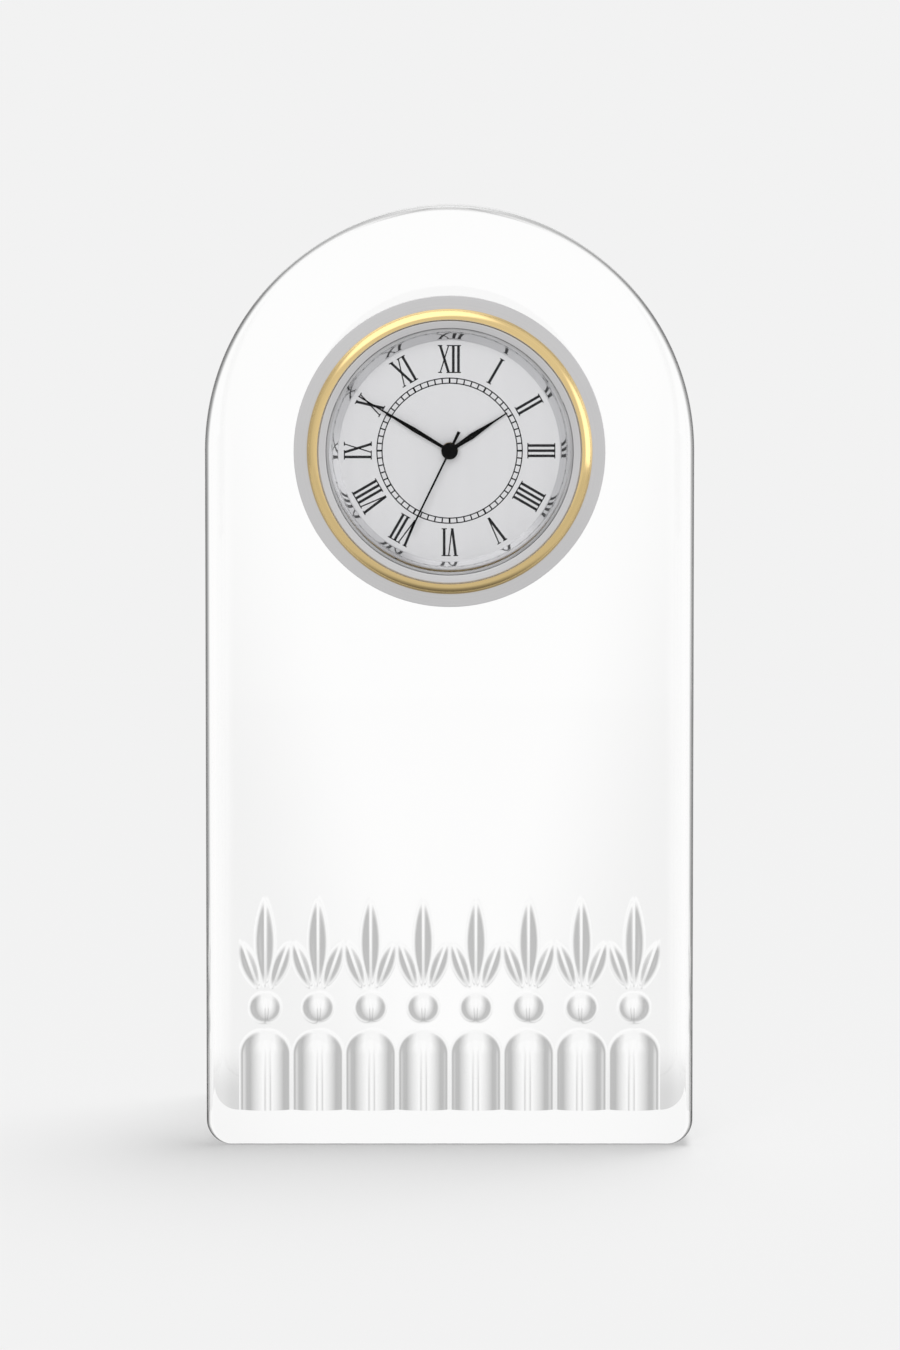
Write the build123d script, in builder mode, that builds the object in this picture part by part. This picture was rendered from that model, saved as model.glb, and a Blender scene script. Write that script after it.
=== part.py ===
import os
from math import atan2, cos, degrees, radians, sin, sqrt

from build123d import *

# Beehive shelf clock: a round-arched block of clear crystal, cut on its back face, with a
# battery clock insert held in a bore by a ribbed rubber band.
# Millimetres, +Z up, the dial faces -Y, and the origin is the centre of the base.

# Crystal block
block_width = 70.0
block_height = 135.0
block_depth = 40.0
base_corner_radius = 3.5
edge_rounding = 1.0
bore_radius = 18.25

# Cut band on the back face: upright flutes, a round printy on each and a fan of splits over it
flute_count = 8
band_margin = 3.6
flute_flat = 0.7
flute_depth = 1.35
flute_height = 12.0
printy_gap = 1.2
printy_diameter = 4.4
printy_depth = 0.8
fan_angle = 20.0
fan_start = 3.0
long_split_length = 13.6
long_split_width = 2.6
side_split_length = 7.6
side_split_width = 2.1
split_slope = 0.66

# Clearances
slip = 0.03
run_clearance = 0.05
grip_clearance = 0.05
shake = 0.12

# Flange, bezel, lens and reflector
flange_margin = 1.87
flange_thickness = 0.9
flange_chamfer = 0.18
gold_width = 1.78
gold_foot = 0.2
gold_rise = 1.05
gold_swell = 0.7
skirt_depth = 2.4
collar_height = 1.1
bevel_width = 0.77
bevel_drop = 0.12
collar_rim = 0.14
gasket_width = 0.4
lens_edge = 0.9
lens_crown = 0.8
reflector_top = 0.6
reflector_height = 1.9
reflector_run = 1.5
reflector_rim = 0.3

# Case tube, grip band and back cover
case_wall = 0.6
band_base = 0.22
lip_height = 0.32
lip_count = 6
lip_pitch = 1.2
case_setback = 0.6
ledge_width = 0.8
ledge_thickness = 0.6
boss_radius = 1.5
boss_length = 3.0
boss_sink = 0.15
boss_count = 3
cover_thickness = 1.2
screw_head_radius = 1.25
screw_head_height = 0.6
screw_shank_radius = 0.55
screw_length = 3.0
slot_width = 0.35
slot_depth = 0.3

# Dial and hands
dial_thickness = 0.4
dial_margin = 0.15
dial_hole_gap = 0.4
hand_thickness = 0.15
hand_gap = 0.32
boss_cap_radius = 1.18
hour_angle = 56.5
minute_angle = 301.1
second_angle = 206.0
hour_length = 9.85
hour_belly = 0.84
hour_needle = 0.27
minute_length = 15.2
minute_belly = 0.63
minute_needle = 0.24
hand_waist = 0.4
second_length = 13.1
second_tail = 3.1
second_width = 0.29
second_tip = 0.235
tail_width = 0.46

# Wheel train
wheel_thickness = 0.35
layer_gap = 0.35
pinion_overhang = 0.1
module_slow = 0.17
module_fast = 0.15
setting_gap = 1.1
fifth_gap = 0.34
cannon_teeth = 12
minute_wheel_teeth = 36
minute_pinion_teeth = 10
hour_wheel_teeth = 40
centre_teeth = 64
third_teeth = 60
second_teeth = 40
fifth_teeth = 48
leaf_count = 8
wheel_tip_ratio = 0.95
wheel_tooth_ratio = 0.44
pinion_tip_ratio = 0.7
pinion_tooth_ratio = 0.36
root_ratio = 1.3
crest_ratio = 0.32
third_facing = 160.0
fifth_facing = 20.0
rotor_facing = 60.0
second_arbor_radius = 0.2
tube_wall = 0.25
arbor_radius = 0.3
pivot_radius = 0.2
pivot_depth = 0.6
setting_arbor_radius = 0.5
plate_thickness = 1.0
plate_rim = 1.5
bush_wall = 0.5
pillar_radius = 1.1
pillar_inset = 1.65
bridge_gap = 1.6
bridge_thickness = 0.8
screw_head_depth = 0.5
bridge_screw_length = 2.4
magnet_radius = 1.5
magnet_height = 1.4
air_gap = 0.3
stator_thickness = 0.7
pole_width = 0.7
stator_half = 6.0
arm_width = 1.7
notch_radius = 0.35
coil_gap = 0.15
coil_radius = 1.35
coil_length = 8.4
core_thickness = 0.6

# Electrics and rear controls
board_thickness = 0.5
board_gap = 0.3
contact_space = 0.4
contact_thickness = 0.2
contact_width = 2.4
contact_gap = 0.04
leaf_foot = 1.6
leaf_ramp = 3.2
leaf_tip = 1.2
leaf_width = 2.2
cell_radius = 5.8
cell_height = 3.1
cell_height_offset = 6.2
cell_step = 0.25
cell_shoulder = 0.9
cap_skirt = 0.45
cap_skirt_depth = 1.1
cap_slot_length = 8.0
cap_slot_width = 1.3
cap_slot_depth = 0.5
well_wall = 0.75
can_radius = 1.0
can_length = 6.0
chip_size = 2.6
chip_height = 0.8
knob_radius = 4.5
knob_height = 2.6
knob_gap = 0.3
knob_grooves = 18
knob_groove_radius = 0.45

# Places that follow from the sizes above
dial_height = block_height - block_width / 2
front_y = -block_depth / 2
back_y = block_depth / 2
case_radius = bore_radius - grip_clearance - lip_height - band_base - slip
case_inner = case_radius - case_wall
collar_inner = case_radius + slip
collar_outer = collar_inner + bevel_width + collar_rim
gold_inner_radius = collar_outer + slip
gold_outer_radius = gold_inner_radius + gold_width
flange_radius = gold_outer_radius + flange_margin
skirt_radius = bore_radius - 2 * grip_clearance - slip
dial_face = reflector_top - reflector_height
dial_back = dial_face - dial_thickness
dial_radius = case_inner - dial_margin
hour_wheel_back = dial_back - layer_gap / 2 - wheel_thickness
minute_wheel_back = hour_wheel_back - layer_gap - wheel_thickness
plate_front = minute_wheel_back - layer_gap
plate_back = plate_front - plate_thickness
layer = wheel_thickness + layer_gap
centre_wheel_back = plate_back - layer
third_wheel_back = centre_wheel_back - layer
second_wheel_back = third_wheel_back - layer
fifth_wheel_back = second_wheel_back - layer
bridge_front = fifth_wheel_back - layer_gap
bridge_back = bridge_front - bridge_thickness
board_back = bridge_back - board_thickness
cell_front = board_back - contact_space
cell_back = cell_front - cell_height
cover_front = cell_back - shake
cover_back = cover_front - cover_thickness
knob_front = cover_back - knob_gap
knob_back = knob_front - knob_height
cannon_bore = second_arbor_radius + run_clearance
cannon_radius = cannon_bore + tube_wall
pipe_bore = cannon_radius + run_clearance
pipe_radius = pipe_bore + tube_wall
hour_hand_back = dial_face + hand_gap
minute_hand_back = hour_hand_back + hand_thickness + hand_gap
second_hand_back = minute_hand_back + hand_thickness + hand_gap
centre_tip = module_slow * (centre_teeth / 2 + wheel_tip_ratio)
setting_distance = centre_tip + setting_gap + setting_arbor_radius
module_cannon = 2 * setting_distance / (cannon_teeth + minute_wheel_teeth)
module_hour = 2 * setting_distance / (minute_pinion_teeth + hour_wheel_teeth)
third_distance = module_slow * (centre_teeth + leaf_count) / 2
module_third = 2 * third_distance / (third_teeth + leaf_count)
fifth_distance = centre_tip + fifth_gap + arbor_radius
module_second = 2 * fifth_distance / (second_teeth + leaf_count)
rotor_distance = module_fast * (fifth_teeth + leaf_count) / 2
setting_facing = -90.0
well_radius = cell_radius + shake + cap_skirt + shake
cap_radius = well_radius - shake


def polar(distance, angle, start=(0.0, 0.0)):
    # A point at a distance and angle from a start, seen from the front
    turn = radians(angle)
    return (start[0] + distance * cos(turn), start[1] + distance * sin(turn))


def level(height, at=(0.0, 0.0), turn=0.0):
    # A plane facing the viewer, a height in front of the block's face, about the dial's centre
    origin = (at[0], front_y - height, dial_height + at[1])
    across = (cos(radians(turn)), 0, sin(radians(turn)))
    return Plane(origin=origin, x_dir=across, z_dir=(0, -1, 0))


setting_axis = polar(setting_distance, setting_facing)
third_axis = polar(third_distance, third_facing)
fifth_axis = polar(fifth_distance, fifth_facing)
rotor_axis = polar(rotor_distance, rotor_facing, fifth_axis)
cell_axis = (0.0, cell_height_offset)

# The half plane that the turned rings are drawn on: radius across, height in front of the face up
turning = Plane(origin=(0, front_y, dial_height), x_dir=(1, 0, 0), z_dir=(0, 0, -1))
dial_axis = Axis((0, front_y, dial_height), (0, -1, 0))


def tooth_ring(teeth, module, facing, share, addendum, gap_first):
    # Closed outline of a wheel or pinion: straight flanks, sloped tips, clear roots
    pitch_radius = module * teeth / 2
    tip = pitch_radius + addendum * module
    root = pitch_radius - root_ratio * module
    step = 360 / teeth
    half = share * step / 2
    crest = crest_ratio * half
    start = facing + (step / 2 if gap_first else 0.0)
    points = []
    for index in range(teeth):
        middle = start + index * step
        points.append(polar(root, middle - half))
        points.append(polar(pitch_radius, middle - half))
        points.append(polar(tip, middle - crest))
        points.append(polar(tip, middle + crest))
        points.append(polar(pitch_radius, middle + half))
        points.append(polar(root, middle + half))
    return points


def wheel_points(teeth, module, facing):
    return tooth_ring(teeth, module, facing, wheel_tooth_ratio, wheel_tip_ratio, False)


def pinion_points(teeth, module, facing):
    return tooth_ring(teeth, module, facing, pinion_tooth_ratio, pinion_tip_ratio, True)


# Crystal block
flute_pitch = (block_width - 2 * band_margin) / flute_count
flute_half = (flute_pitch - flute_flat) / 2
flute_wheel = (flute_half ** 2 + flute_depth ** 2) / (2 * flute_depth)
flute_axis_y = back_y + flute_wheel - flute_depth
printy_half = printy_diameter / 2
printy_wheel = (printy_half ** 2 + printy_depth ** 2) / (2 * printy_depth)
printy_axis_y = back_y + printy_wheel - printy_depth
printy_height = flute_height + printy_gap + printy_half
first_flute = -(flute_count - 1) * flute_pitch / 2


def split_wheel(length, width):
    # The V-edged wheel that cuts one split: two cones back to back, standing off the back face
    half = width / 2
    depth = split_slope * half
    radius = ((length / 2) ** 2 + depth ** 2) / (2 * depth)
    reach = 2 * half
    rise = split_slope * reach
    with BuildPart() as wheel:
        with BuildSketch(Plane.XY.offset(fan_start + length / 2)):
            with BuildLine():
                Polyline(
                    (0, back_y - depth),
                    (reach, back_y - depth + rise),
                    (reach, back_y - depth + radius),
                    (-reach, back_y - depth + radius),
                    (-reach, back_y - depth + rise),
                    close=True,
                )
            make_face()
        axis_start = (0, back_y - depth + radius, fan_start + length / 2)
        revolve(axis=Axis(axis_start, (1, 0, 0)))
    return wheel


long_wheel = split_wheel(long_split_length, long_split_width)
side_wheel = split_wheel(side_split_length, side_split_width)

with BuildPart() as crystal_block:
    with BuildSketch(level(0.0, (0.0, -dial_height))):
        with BuildLine():
            half_width = block_width / 2
            Line((-half_width, dial_height), (-half_width, 0))
            Line((-half_width, 0), (half_width, 0))
            Line((half_width, 0), (half_width, dial_height))
            ThreePointArc((half_width, dial_height), (0, block_height), (-half_width, dial_height))
        face = make_face()
        fillet(face.vertices().group_by(Axis.Z)[0], radius=base_corner_radius)
    extrude(amount=-block_depth)
    front_rim = crystal_block.faces().sort_by(Axis.Y)[0].edges()
    fillet(front_rim, radius=edge_rounding)
    with BuildSketch(level(0.0)):
        Circle(bore_radius)
    extrude(amount=-block_depth, mode=Mode.SUBTRACT)
    flute_top = flute_height - flute_half
    flute_places = [first_flute + index * flute_pitch for index in range(flute_count)]
    with BuildSketch(Plane.XY.offset(-1)):
        with Locations(*[(across, flute_axis_y) for across in flute_places]):
            Circle(flute_wheel)
    extrude(amount=flute_top + 1, mode=Mode.SUBTRACT)
    with Locations(*[(across, flute_axis_y, flute_top) for across in flute_places]):
        Sphere(flute_wheel, mode=Mode.SUBTRACT)
    with Locations(*[(across, printy_axis_y, printy_height) for across in flute_places]):
        Sphere(printy_wheel, mode=Mode.SUBTRACT)
    for across in flute_places:
        with Locations((across, 0, printy_height)):
            add(long_wheel.part, mode=Mode.SUBTRACT)
        for side in (-1, 1):
            with Locations(Location((across, 0, printy_height), (0, side * fan_angle, 0))):
                add(side_wheel.part, mode=Mode.SUBTRACT)
crystal_block.part.label = "crystal_block"

# Flange with its collar and skirt, turned in one piece
bevel_top = flange_thickness + collar_height
with BuildPart() as flange_ring:
    with BuildSketch(turning):
        with BuildLine():
            Polyline(
                (collar_inner, -skirt_depth),
                (skirt_radius, -skirt_depth),
                (skirt_radius, 0),
                (flange_radius, 0),
                (flange_radius, flange_thickness - flange_chamfer),
                (flange_radius - flange_chamfer, flange_thickness),
                (collar_outer, flange_thickness),
                (collar_outer, bevel_top),
                (collar_outer - collar_rim, bevel_top),
                (collar_inner, bevel_top - bevel_drop),
                close=True,
            )
        make_face()
    revolve(axis=dial_axis)
flange_ring.part.label = "flange_ring"

# Bezel that rises in a convex curve from its outer foot to its inner crest
gold_shoulder = flange_thickness + gold_foot
gold_crest = gold_shoulder + gold_rise
with BuildPart() as gold_bezel:
    with BuildSketch(turning):
        with BuildLine():
            Line((gold_inner_radius, flange_thickness), (gold_outer_radius, flange_thickness))
            Line((gold_outer_radius, flange_thickness), (gold_outer_radius, gold_shoulder))
            ThreePointArc(
                (gold_outer_radius, gold_shoulder),
                (gold_inner_radius + gold_swell * gold_width, gold_shoulder + gold_swell * gold_rise),
                (gold_inner_radius, gold_crest),
            )
            Line((gold_inner_radius, gold_crest), (gold_inner_radius, flange_thickness))
        make_face()
    revolve(axis=dial_axis)
gold_bezel.part.label = "gold_bezel"

lens_radius = case_radius - gasket_width
with BuildPart() as lens:
    with BuildSketch(turning):
        with BuildLine():
            lens_rim = reflector_top + lens_edge
            crown_radius = (lens_radius ** 2 + lens_crown ** 2) / (2 * lens_crown)
            half_arc = lens_crown - crown_radius + sqrt(crown_radius ** 2 - lens_radius ** 2 / 4)
            Line((0, reflector_top), (lens_radius, reflector_top))
            Line((lens_radius, reflector_top), (lens_radius, lens_rim))
            ThreePointArc(
                (lens_radius, lens_rim), (lens_radius / 2, lens_rim + half_arc), (0, lens_rim + lens_crown)
            )
            Line((0, lens_rim + lens_crown), (0, reflector_top))
        make_face()
    revolve(axis=dial_axis)
lens.part.label = "lens"

with BuildPart() as lens_gasket:
    with BuildSketch(level(reflector_top)):
        Circle(case_radius)
        Circle(lens_radius + slip, mode=Mode.SUBTRACT)
    extrude(amount=lens_edge)
lens_gasket.part.label = "lens_gasket"

reflector_mouth = case_radius - reflector_rim - slip
reflector_foot = reflector_mouth - reflector_run
with BuildPart() as reflector_ring:
    with BuildSketch(turning):
        with BuildLine():
            Polyline(
                (reflector_foot, dial_face),
                (reflector_mouth, reflector_top),
                (case_radius - slip, reflector_top),
                (case_radius - slip, -case_setback),
                (case_inner - slip, -case_setback),
                (case_inner - slip, dial_face),
                close=True,
            )
        make_face()
    revolve(axis=dial_axis)
reflector_ring.part.label = "reflector_ring"

dial_hole = pipe_radius + dial_hole_gap
with BuildPart() as dial:
    with BuildSketch(level(dial_back)):
        Circle(dial_radius)
        Circle(dial_hole, mode=Mode.SUBTRACT)
    extrude(amount=dial_thickness)
dial.part.label = "dial"


def hand_points(length, belly, needle, belly_share, needle_share):
    # A leaf that swells from the boss and runs out into a fine needle, along +Y
    belly_at = belly_share * length
    needle_at = needle_share * length
    return [
        (-hand_waist / 2, 0),
        (-belly / 2, belly_at),
        (-needle / 2, needle_at),
        (-needle / 3, length),
        (needle / 3, length),
        (needle / 2, needle_at),
        (belly / 2, belly_at),
        (hand_waist / 2, 0),
    ]


hour_leaf = hand_points(hour_length, hour_belly, hour_needle, 0.39, 0.76)
with BuildPart() as hour_hand:
    with BuildSketch(level(hour_hand_back, turn=-hour_angle)):
        with BuildLine():
            Polyline(*hour_leaf, close=True)
        make_face()
        Circle(boss_cap_radius - 0.05)
        Circle(pipe_radius, mode=Mode.SUBTRACT)
    extrude(amount=hand_thickness)
hour_hand.part.label = "hour_hand"

minute_leaf = hand_points(minute_length, minute_belly, minute_needle, 0.39, 0.72)
with BuildPart() as minute_hand:
    with BuildSketch(level(minute_hand_back, turn=-minute_angle)):
        with BuildLine():
            Polyline(*minute_leaf, close=True)
        make_face()
        Circle(boss_cap_radius - 0.1)
        Circle(cannon_radius, mode=Mode.SUBTRACT)
    extrude(amount=hand_thickness)
minute_hand.part.label = "minute_hand"

with BuildPart() as second_hand:
    with BuildSketch(level(second_hand_back, turn=-second_angle)):
        with BuildLine():
            Polyline(
                (-tail_width / 2, -second_tail),
                (-second_width / 2, 0),
                (-second_tip / 2, second_length),
                (second_tip / 2, second_length),
                (second_width / 2, 0),
                (tail_width / 2, -second_tail),
                close=True,
            )
        make_face()
        Circle(boss_cap_radius)
        Circle(second_arbor_radius, mode=Mode.SUBTRACT)
    extrude(amount=hand_thickness)
    with BuildSketch(level(second_hand_back + hand_thickness)):
        Circle(boss_cap_radius * 0.9)
    extrude(amount=hand_thickness)
second_hand.part.label = "second_hand"

# Case tube with the ledge for the main plate and the bosses for the cover screws
boss_ring = case_inner - boss_radius + boss_sink
with BuildPart() as case_tube:
    with BuildSketch(level(cover_back)):
        Circle(case_radius)
        Circle(case_inner, mode=Mode.SUBTRACT)
    extrude(amount=-case_setback - cover_back)
    with BuildSketch(level(plate_back - ledge_thickness)):
        Circle(case_inner + case_wall / 2)
        Circle(case_inner - ledge_width, mode=Mode.SUBTRACT)
    extrude(amount=ledge_thickness)
    with BuildSketch(level(cover_front)):
        with PolarLocations(boss_ring, boss_count, start_angle=30):
            Circle(boss_radius)
        with PolarLocations(boss_ring, boss_count, start_angle=30):
            Circle(screw_shank_radius + slip, mode=Mode.SUBTRACT)
    extrude(amount=boss_length)
case_tube.part.label = "case_tube"

band_inner = case_radius + slip
band_outer = band_inner + band_base
band_front = -skirt_depth - shake
band_length = lip_count * lip_pitch
with BuildPart() as grip_band:
    with BuildSketch(turning):
        with BuildLine():
            lips = [(band_inner, band_front - band_length), (band_inner, band_front)]
            for index in range(lip_count):
                lip_front = band_front - index * lip_pitch
                lips.append((band_outer, lip_front))
                lips.append((band_outer + lip_height, lip_front - 0.25 * lip_pitch))
                lips.append((band_outer + lip_height, lip_front - 0.4 * lip_pitch))
                lips.append((band_outer, lip_front - 0.7 * lip_pitch))
            lips.append((band_outer, band_front - band_length))
            Polyline(*lips, close=True)
        make_face()
    revolve(axis=dial_axis)
grip_band.part.label = "grip_band"

# Main plate: a rim carries the dial and pillars carry the bridge
plate_radius = case_inner - slip
pivot_hole = pivot_radius + run_clearance
setting_hole = setting_arbor_radius + run_clearance
bush_radius = cannon_radius + run_clearance + bush_wall
pillar_angles = (100.0, 215.0, 325.0)
bridge_radius = case_inner - ledge_width - bridge_gap
pillar_ring = bridge_radius - pillar_inset
with BuildPart() as main_plate:
    with BuildSketch(level(plate_back)):
        Circle(plate_radius)
        Circle(bush_radius, mode=Mode.SUBTRACT)
        with Locations(setting_axis):
            Circle(setting_hole, mode=Mode.SUBTRACT)
    extrude(amount=plate_thickness)
    with BuildSketch(level(plate_front)):
        Circle(plate_radius)
        Circle(plate_radius - plate_rim, mode=Mode.SUBTRACT)
    extrude(amount=dial_back - plate_front)
    with BuildSketch(level(plate_back)):
        with Locations(*[polar(pillar_ring, angle) for angle in pillar_angles]):
            Circle(pillar_radius)
        with Locations(*[polar(pillar_ring, angle) for angle in pillar_angles]):
            Circle(screw_shank_radius + slip, mode=Mode.SUBTRACT)
    extrude(amount=bridge_front - plate_back)
    with BuildSketch(level(plate_back)):
        with Locations(third_axis, fifth_axis, rotor_axis):
            Circle(pivot_hole)
    extrude(amount=pivot_depth + shake, mode=Mode.SUBTRACT)
main_plate.part.label = "main_plate"

with BuildPart() as centre_bush:
    with BuildSketch(level(plate_back)):
        Circle(bush_radius)
        Circle(cannon_radius + run_clearance, mode=Mode.SUBTRACT)
    extrude(amount=plate_thickness)
centre_bush.part.label = "centre_bush"


def pinion_height():
    return wheel_thickness + 2 * pinion_overhang


# Motion works in front of the plate
with BuildPart() as cannon_pinion:
    with BuildSketch(level(minute_wheel_back - pinion_overhang)):
        with BuildLine():
            Polyline(*pinion_points(cannon_teeth, module_cannon, setting_facing), close=True)
        make_face()
    extrude(amount=pinion_height())
    with BuildSketch(level(centre_wheel_back)):
        Circle(cannon_radius)
    extrude(amount=minute_hand_back + hand_thickness - centre_wheel_back)
    with BuildSketch(level(centre_wheel_back)):
        Circle(cannon_bore)
    extrude(amount=minute_hand_back + hand_thickness - centre_wheel_back, mode=Mode.SUBTRACT)
cannon_pinion.part.label = "cannon_pinion"

centre_spokes = 4
with BuildPart() as centre_wheel:
    with BuildSketch(level(centre_wheel_back)):
        with BuildLine():
            Polyline(*wheel_points(centre_teeth, module_slow, third_facing), close=True)
        make_face()
        with PolarLocations(module_slow * centre_teeth * 0.29, centre_spokes, start_angle=15):
            Circle(module_slow * centre_teeth * 0.12, mode=Mode.SUBTRACT)
        Circle(cannon_radius, mode=Mode.SUBTRACT)
    extrude(amount=wheel_thickness)
centre_wheel.part.label = "centre_wheel"

with BuildPart() as hour_wheel:
    with BuildSketch(level(hour_wheel_back)):
        with BuildLine():
            Polyline(*wheel_points(hour_wheel_teeth, module_hour, setting_facing), close=True)
        make_face()
        Circle(pipe_bore, mode=Mode.SUBTRACT)
    extrude(amount=wheel_thickness)
    with BuildSketch(level(hour_wheel_back)):
        Circle(pipe_radius)
        Circle(pipe_bore, mode=Mode.SUBTRACT)
    extrude(amount=hour_hand_back + hand_thickness - hour_wheel_back)
hour_wheel.part.label = "hour_wheel"

with BuildPart() as minute_wheel:
    with BuildSketch(level(minute_wheel_back, setting_axis)):
        with BuildLine():
            Polyline(*wheel_points(minute_wheel_teeth, module_cannon, setting_facing + 180), close=True)
        make_face()
    extrude(amount=wheel_thickness)
    with BuildSketch(level(hour_wheel_back - pinion_overhang, setting_axis)):
        with BuildLine():
            Polyline(*pinion_points(minute_pinion_teeth, module_hour, setting_facing + 180), close=True)
        make_face()
    extrude(amount=pinion_height())
    with BuildSketch(level(knob_front - knob_height / 2, setting_axis)):
        Circle(setting_arbor_radius)
    extrude(amount=hour_wheel_back - knob_front + knob_height / 2)
minute_wheel.part.label = "minute_wheel"

with BuildPart() as setting_knob:
    with BuildSketch(level(knob_back, setting_axis)):
        Circle(knob_radius)
        with PolarLocations(knob_radius, knob_grooves):
            Circle(knob_groove_radius, mode=Mode.SUBTRACT)
    extrude(amount=knob_height)
    chamfer(setting_knob.faces().sort_by(Axis.Y)[-1].edges(), length=0.25)
    with BuildSketch(level(knob_front, setting_axis)):
        Circle(setting_arbor_radius)
    extrude(amount=-knob_height / 2, mode=Mode.SUBTRACT)
setting_knob.part.label = "setting_knob"

# Going train behind the plate
bridge_pivot = bridge_front - pivot_depth
plate_pivot = plate_back + pivot_depth
arbor_back = bridge_front + shake
arbor_front = plate_back - shake

with BuildPart() as third_wheel:
    with BuildSketch(level(centre_wheel_back - pinion_overhang, third_axis)):
        with BuildLine():
            Polyline(*pinion_points(leaf_count, module_slow, third_facing + 180), close=True)
        make_face()
    extrude(amount=pinion_height())
    with BuildSketch(level(third_wheel_back, third_axis)):
        with BuildLine():
            Polyline(*wheel_points(third_teeth, module_third, third_facing + 180), close=True)
        make_face()
    extrude(amount=wheel_thickness)
    with BuildSketch(level(arbor_back, third_axis)):
        Circle(arbor_radius)
    extrude(amount=arbor_front - arbor_back)
    with BuildSketch(level(bridge_pivot, third_axis)):
        Circle(pivot_radius)
    extrude(amount=plate_pivot - bridge_pivot)
third_wheel.part.label = "third_wheel"

with BuildPart() as second_wheel:
    with BuildSketch(level(third_wheel_back - pinion_overhang)):
        with BuildLine():
            Polyline(*pinion_points(leaf_count, module_third, third_facing), close=True)
        make_face()
    extrude(amount=pinion_height())
    with BuildSketch(level(second_wheel_back)):
        with BuildLine():
            Polyline(*wheel_points(second_teeth, module_second, fifth_facing), close=True)
        make_face()
    extrude(amount=wheel_thickness)
    with BuildSketch(level(bridge_pivot)):
        Circle(second_arbor_radius)
    extrude(amount=second_hand_back + hand_thickness - bridge_pivot)
second_wheel.part.label = "second_wheel"

with BuildPart() as fifth_wheel:
    with BuildSketch(level(second_wheel_back - pinion_overhang, fifth_axis)):
        with BuildLine():
            Polyline(*pinion_points(leaf_count, module_second, fifth_facing + 180), close=True)
        make_face()
    extrude(amount=pinion_height())
    with BuildSketch(level(fifth_wheel_back, fifth_axis)):
        with BuildLine():
            Polyline(*wheel_points(fifth_teeth, module_fast, rotor_facing), close=True)
        make_face()
    extrude(amount=wheel_thickness)
    with BuildSketch(level(arbor_back, fifth_axis)):
        Circle(arbor_radius)
    extrude(amount=arbor_front - arbor_back)
    with BuildSketch(level(bridge_pivot, fifth_axis)):
        Circle(pivot_radius)
    extrude(amount=plate_pivot - bridge_pivot)
fifth_wheel.part.label = "fifth_wheel"

with BuildPart() as rotor_pinion:
    with BuildSketch(level(fifth_wheel_back - pinion_overhang, rotor_axis)):
        with BuildLine():
            Polyline(*pinion_points(leaf_count, module_fast, rotor_facing + 180), close=True)
        make_face()
    extrude(amount=pinion_height())
    with BuildSketch(level(arbor_back, rotor_axis)):
        Circle(arbor_radius)
    extrude(amount=arbor_front - arbor_back)
    with BuildSketch(level(bridge_pivot, rotor_axis)):
        Circle(pivot_radius)
    extrude(amount=plate_pivot - bridge_pivot)
rotor_pinion.part.label = "rotor_pinion"

magnet_back = plate_back - shake - layer_gap - magnet_height
with BuildPart() as rotor_magnet:
    with BuildSketch(level(magnet_back, rotor_axis)):
        Circle(magnet_radius)
        Circle(arbor_radius, mode=Mode.SUBTRACT)
    extrude(amount=magnet_height)
rotor_magnet.part.label = "rotor_magnet"

# Stator around the rotor, drawn across the line from the dial's centre to the rotor
rotor_turn = degrees(atan2(rotor_axis[1], rotor_axis[0]))
stator_back = magnet_back + (magnet_height - stator_thickness) / 2
pole_half = magnet_radius + air_gap + pole_width
coil_offset = pole_half + coil_gap + coil_radius
coil_middle = stator_back + stator_thickness / 2


def rotor_frame(height):
    # Local +X runs outward through the rotor, toward the coil
    return level(height, rotor_axis, rotor_turn)


with BuildPart() as stator:
    with BuildSketch(rotor_frame(stator_back)):
        Rectangle(2 * pole_half, 2 * stator_half)
        for side in (-1, 1):
            with Locations((coil_offset / 2, side * (stator_half - arm_width / 2))):
                Rectangle(coil_offset + arm_width, arm_width)
        Circle(magnet_radius + air_gap, mode=Mode.SUBTRACT)
        with Locations((0, magnet_radius + air_gap), (0, -magnet_radius - air_gap)):
            Circle(notch_radius, mode=Mode.SUBTRACT)
    extrude(amount=stator_thickness)
stator.part.label = "stator"

# The core lies on the stator's arms and stops the coil short of the plate
core_back = stator_back - core_thickness
with BuildPart() as coil_core:
    with BuildSketch(rotor_frame(core_back)):
        with Locations((coil_offset, 0)):
            Rectangle(arm_width, 2 * stator_half)
    extrude(amount=core_thickness)
coil_core.part.label = "coil_core"

with BuildPart() as coil_winding:
    with BuildSketch(rotor_frame(core_back - 0.5 * (coil_radius - core_thickness))):
        with Locations((coil_offset, 0)):
            RectangleRounded(2 * coil_radius, coil_length, 0.4)
    extrude(amount=coil_radius)
    with BuildSketch(rotor_frame(core_back)):
        with Locations((coil_offset, 0)):
            Rectangle(arm_width, 2 * stator_half)
    extrude(amount=core_thickness, mode=Mode.SUBTRACT)
coil_winding.part.label = "coil_winding"

# Train bridge on the pillars
with BuildPart() as train_bridge:
    with BuildSketch(level(bridge_back)):
        Circle(bridge_radius)
        with Locations(setting_axis):
            Circle(setting_hole, mode=Mode.SUBTRACT)
        with Locations((0, 0), third_axis, fifth_axis, rotor_axis):
            Circle(pivot_hole, mode=Mode.SUBTRACT)
        with Locations(*[polar(pillar_ring, angle) for angle in pillar_angles]):
            Circle(screw_shank_radius + slip, mode=Mode.SUBTRACT)
    extrude(amount=bridge_thickness)
    with BuildSketch(level(bridge_back)):
        with Locations(*[polar(pillar_ring, angle) for angle in pillar_angles]):
            Circle(pillar_radius + slip)
    extrude(amount=screw_head_depth, mode=Mode.SUBTRACT)
train_bridge.part.label = "train_bridge"


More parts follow.
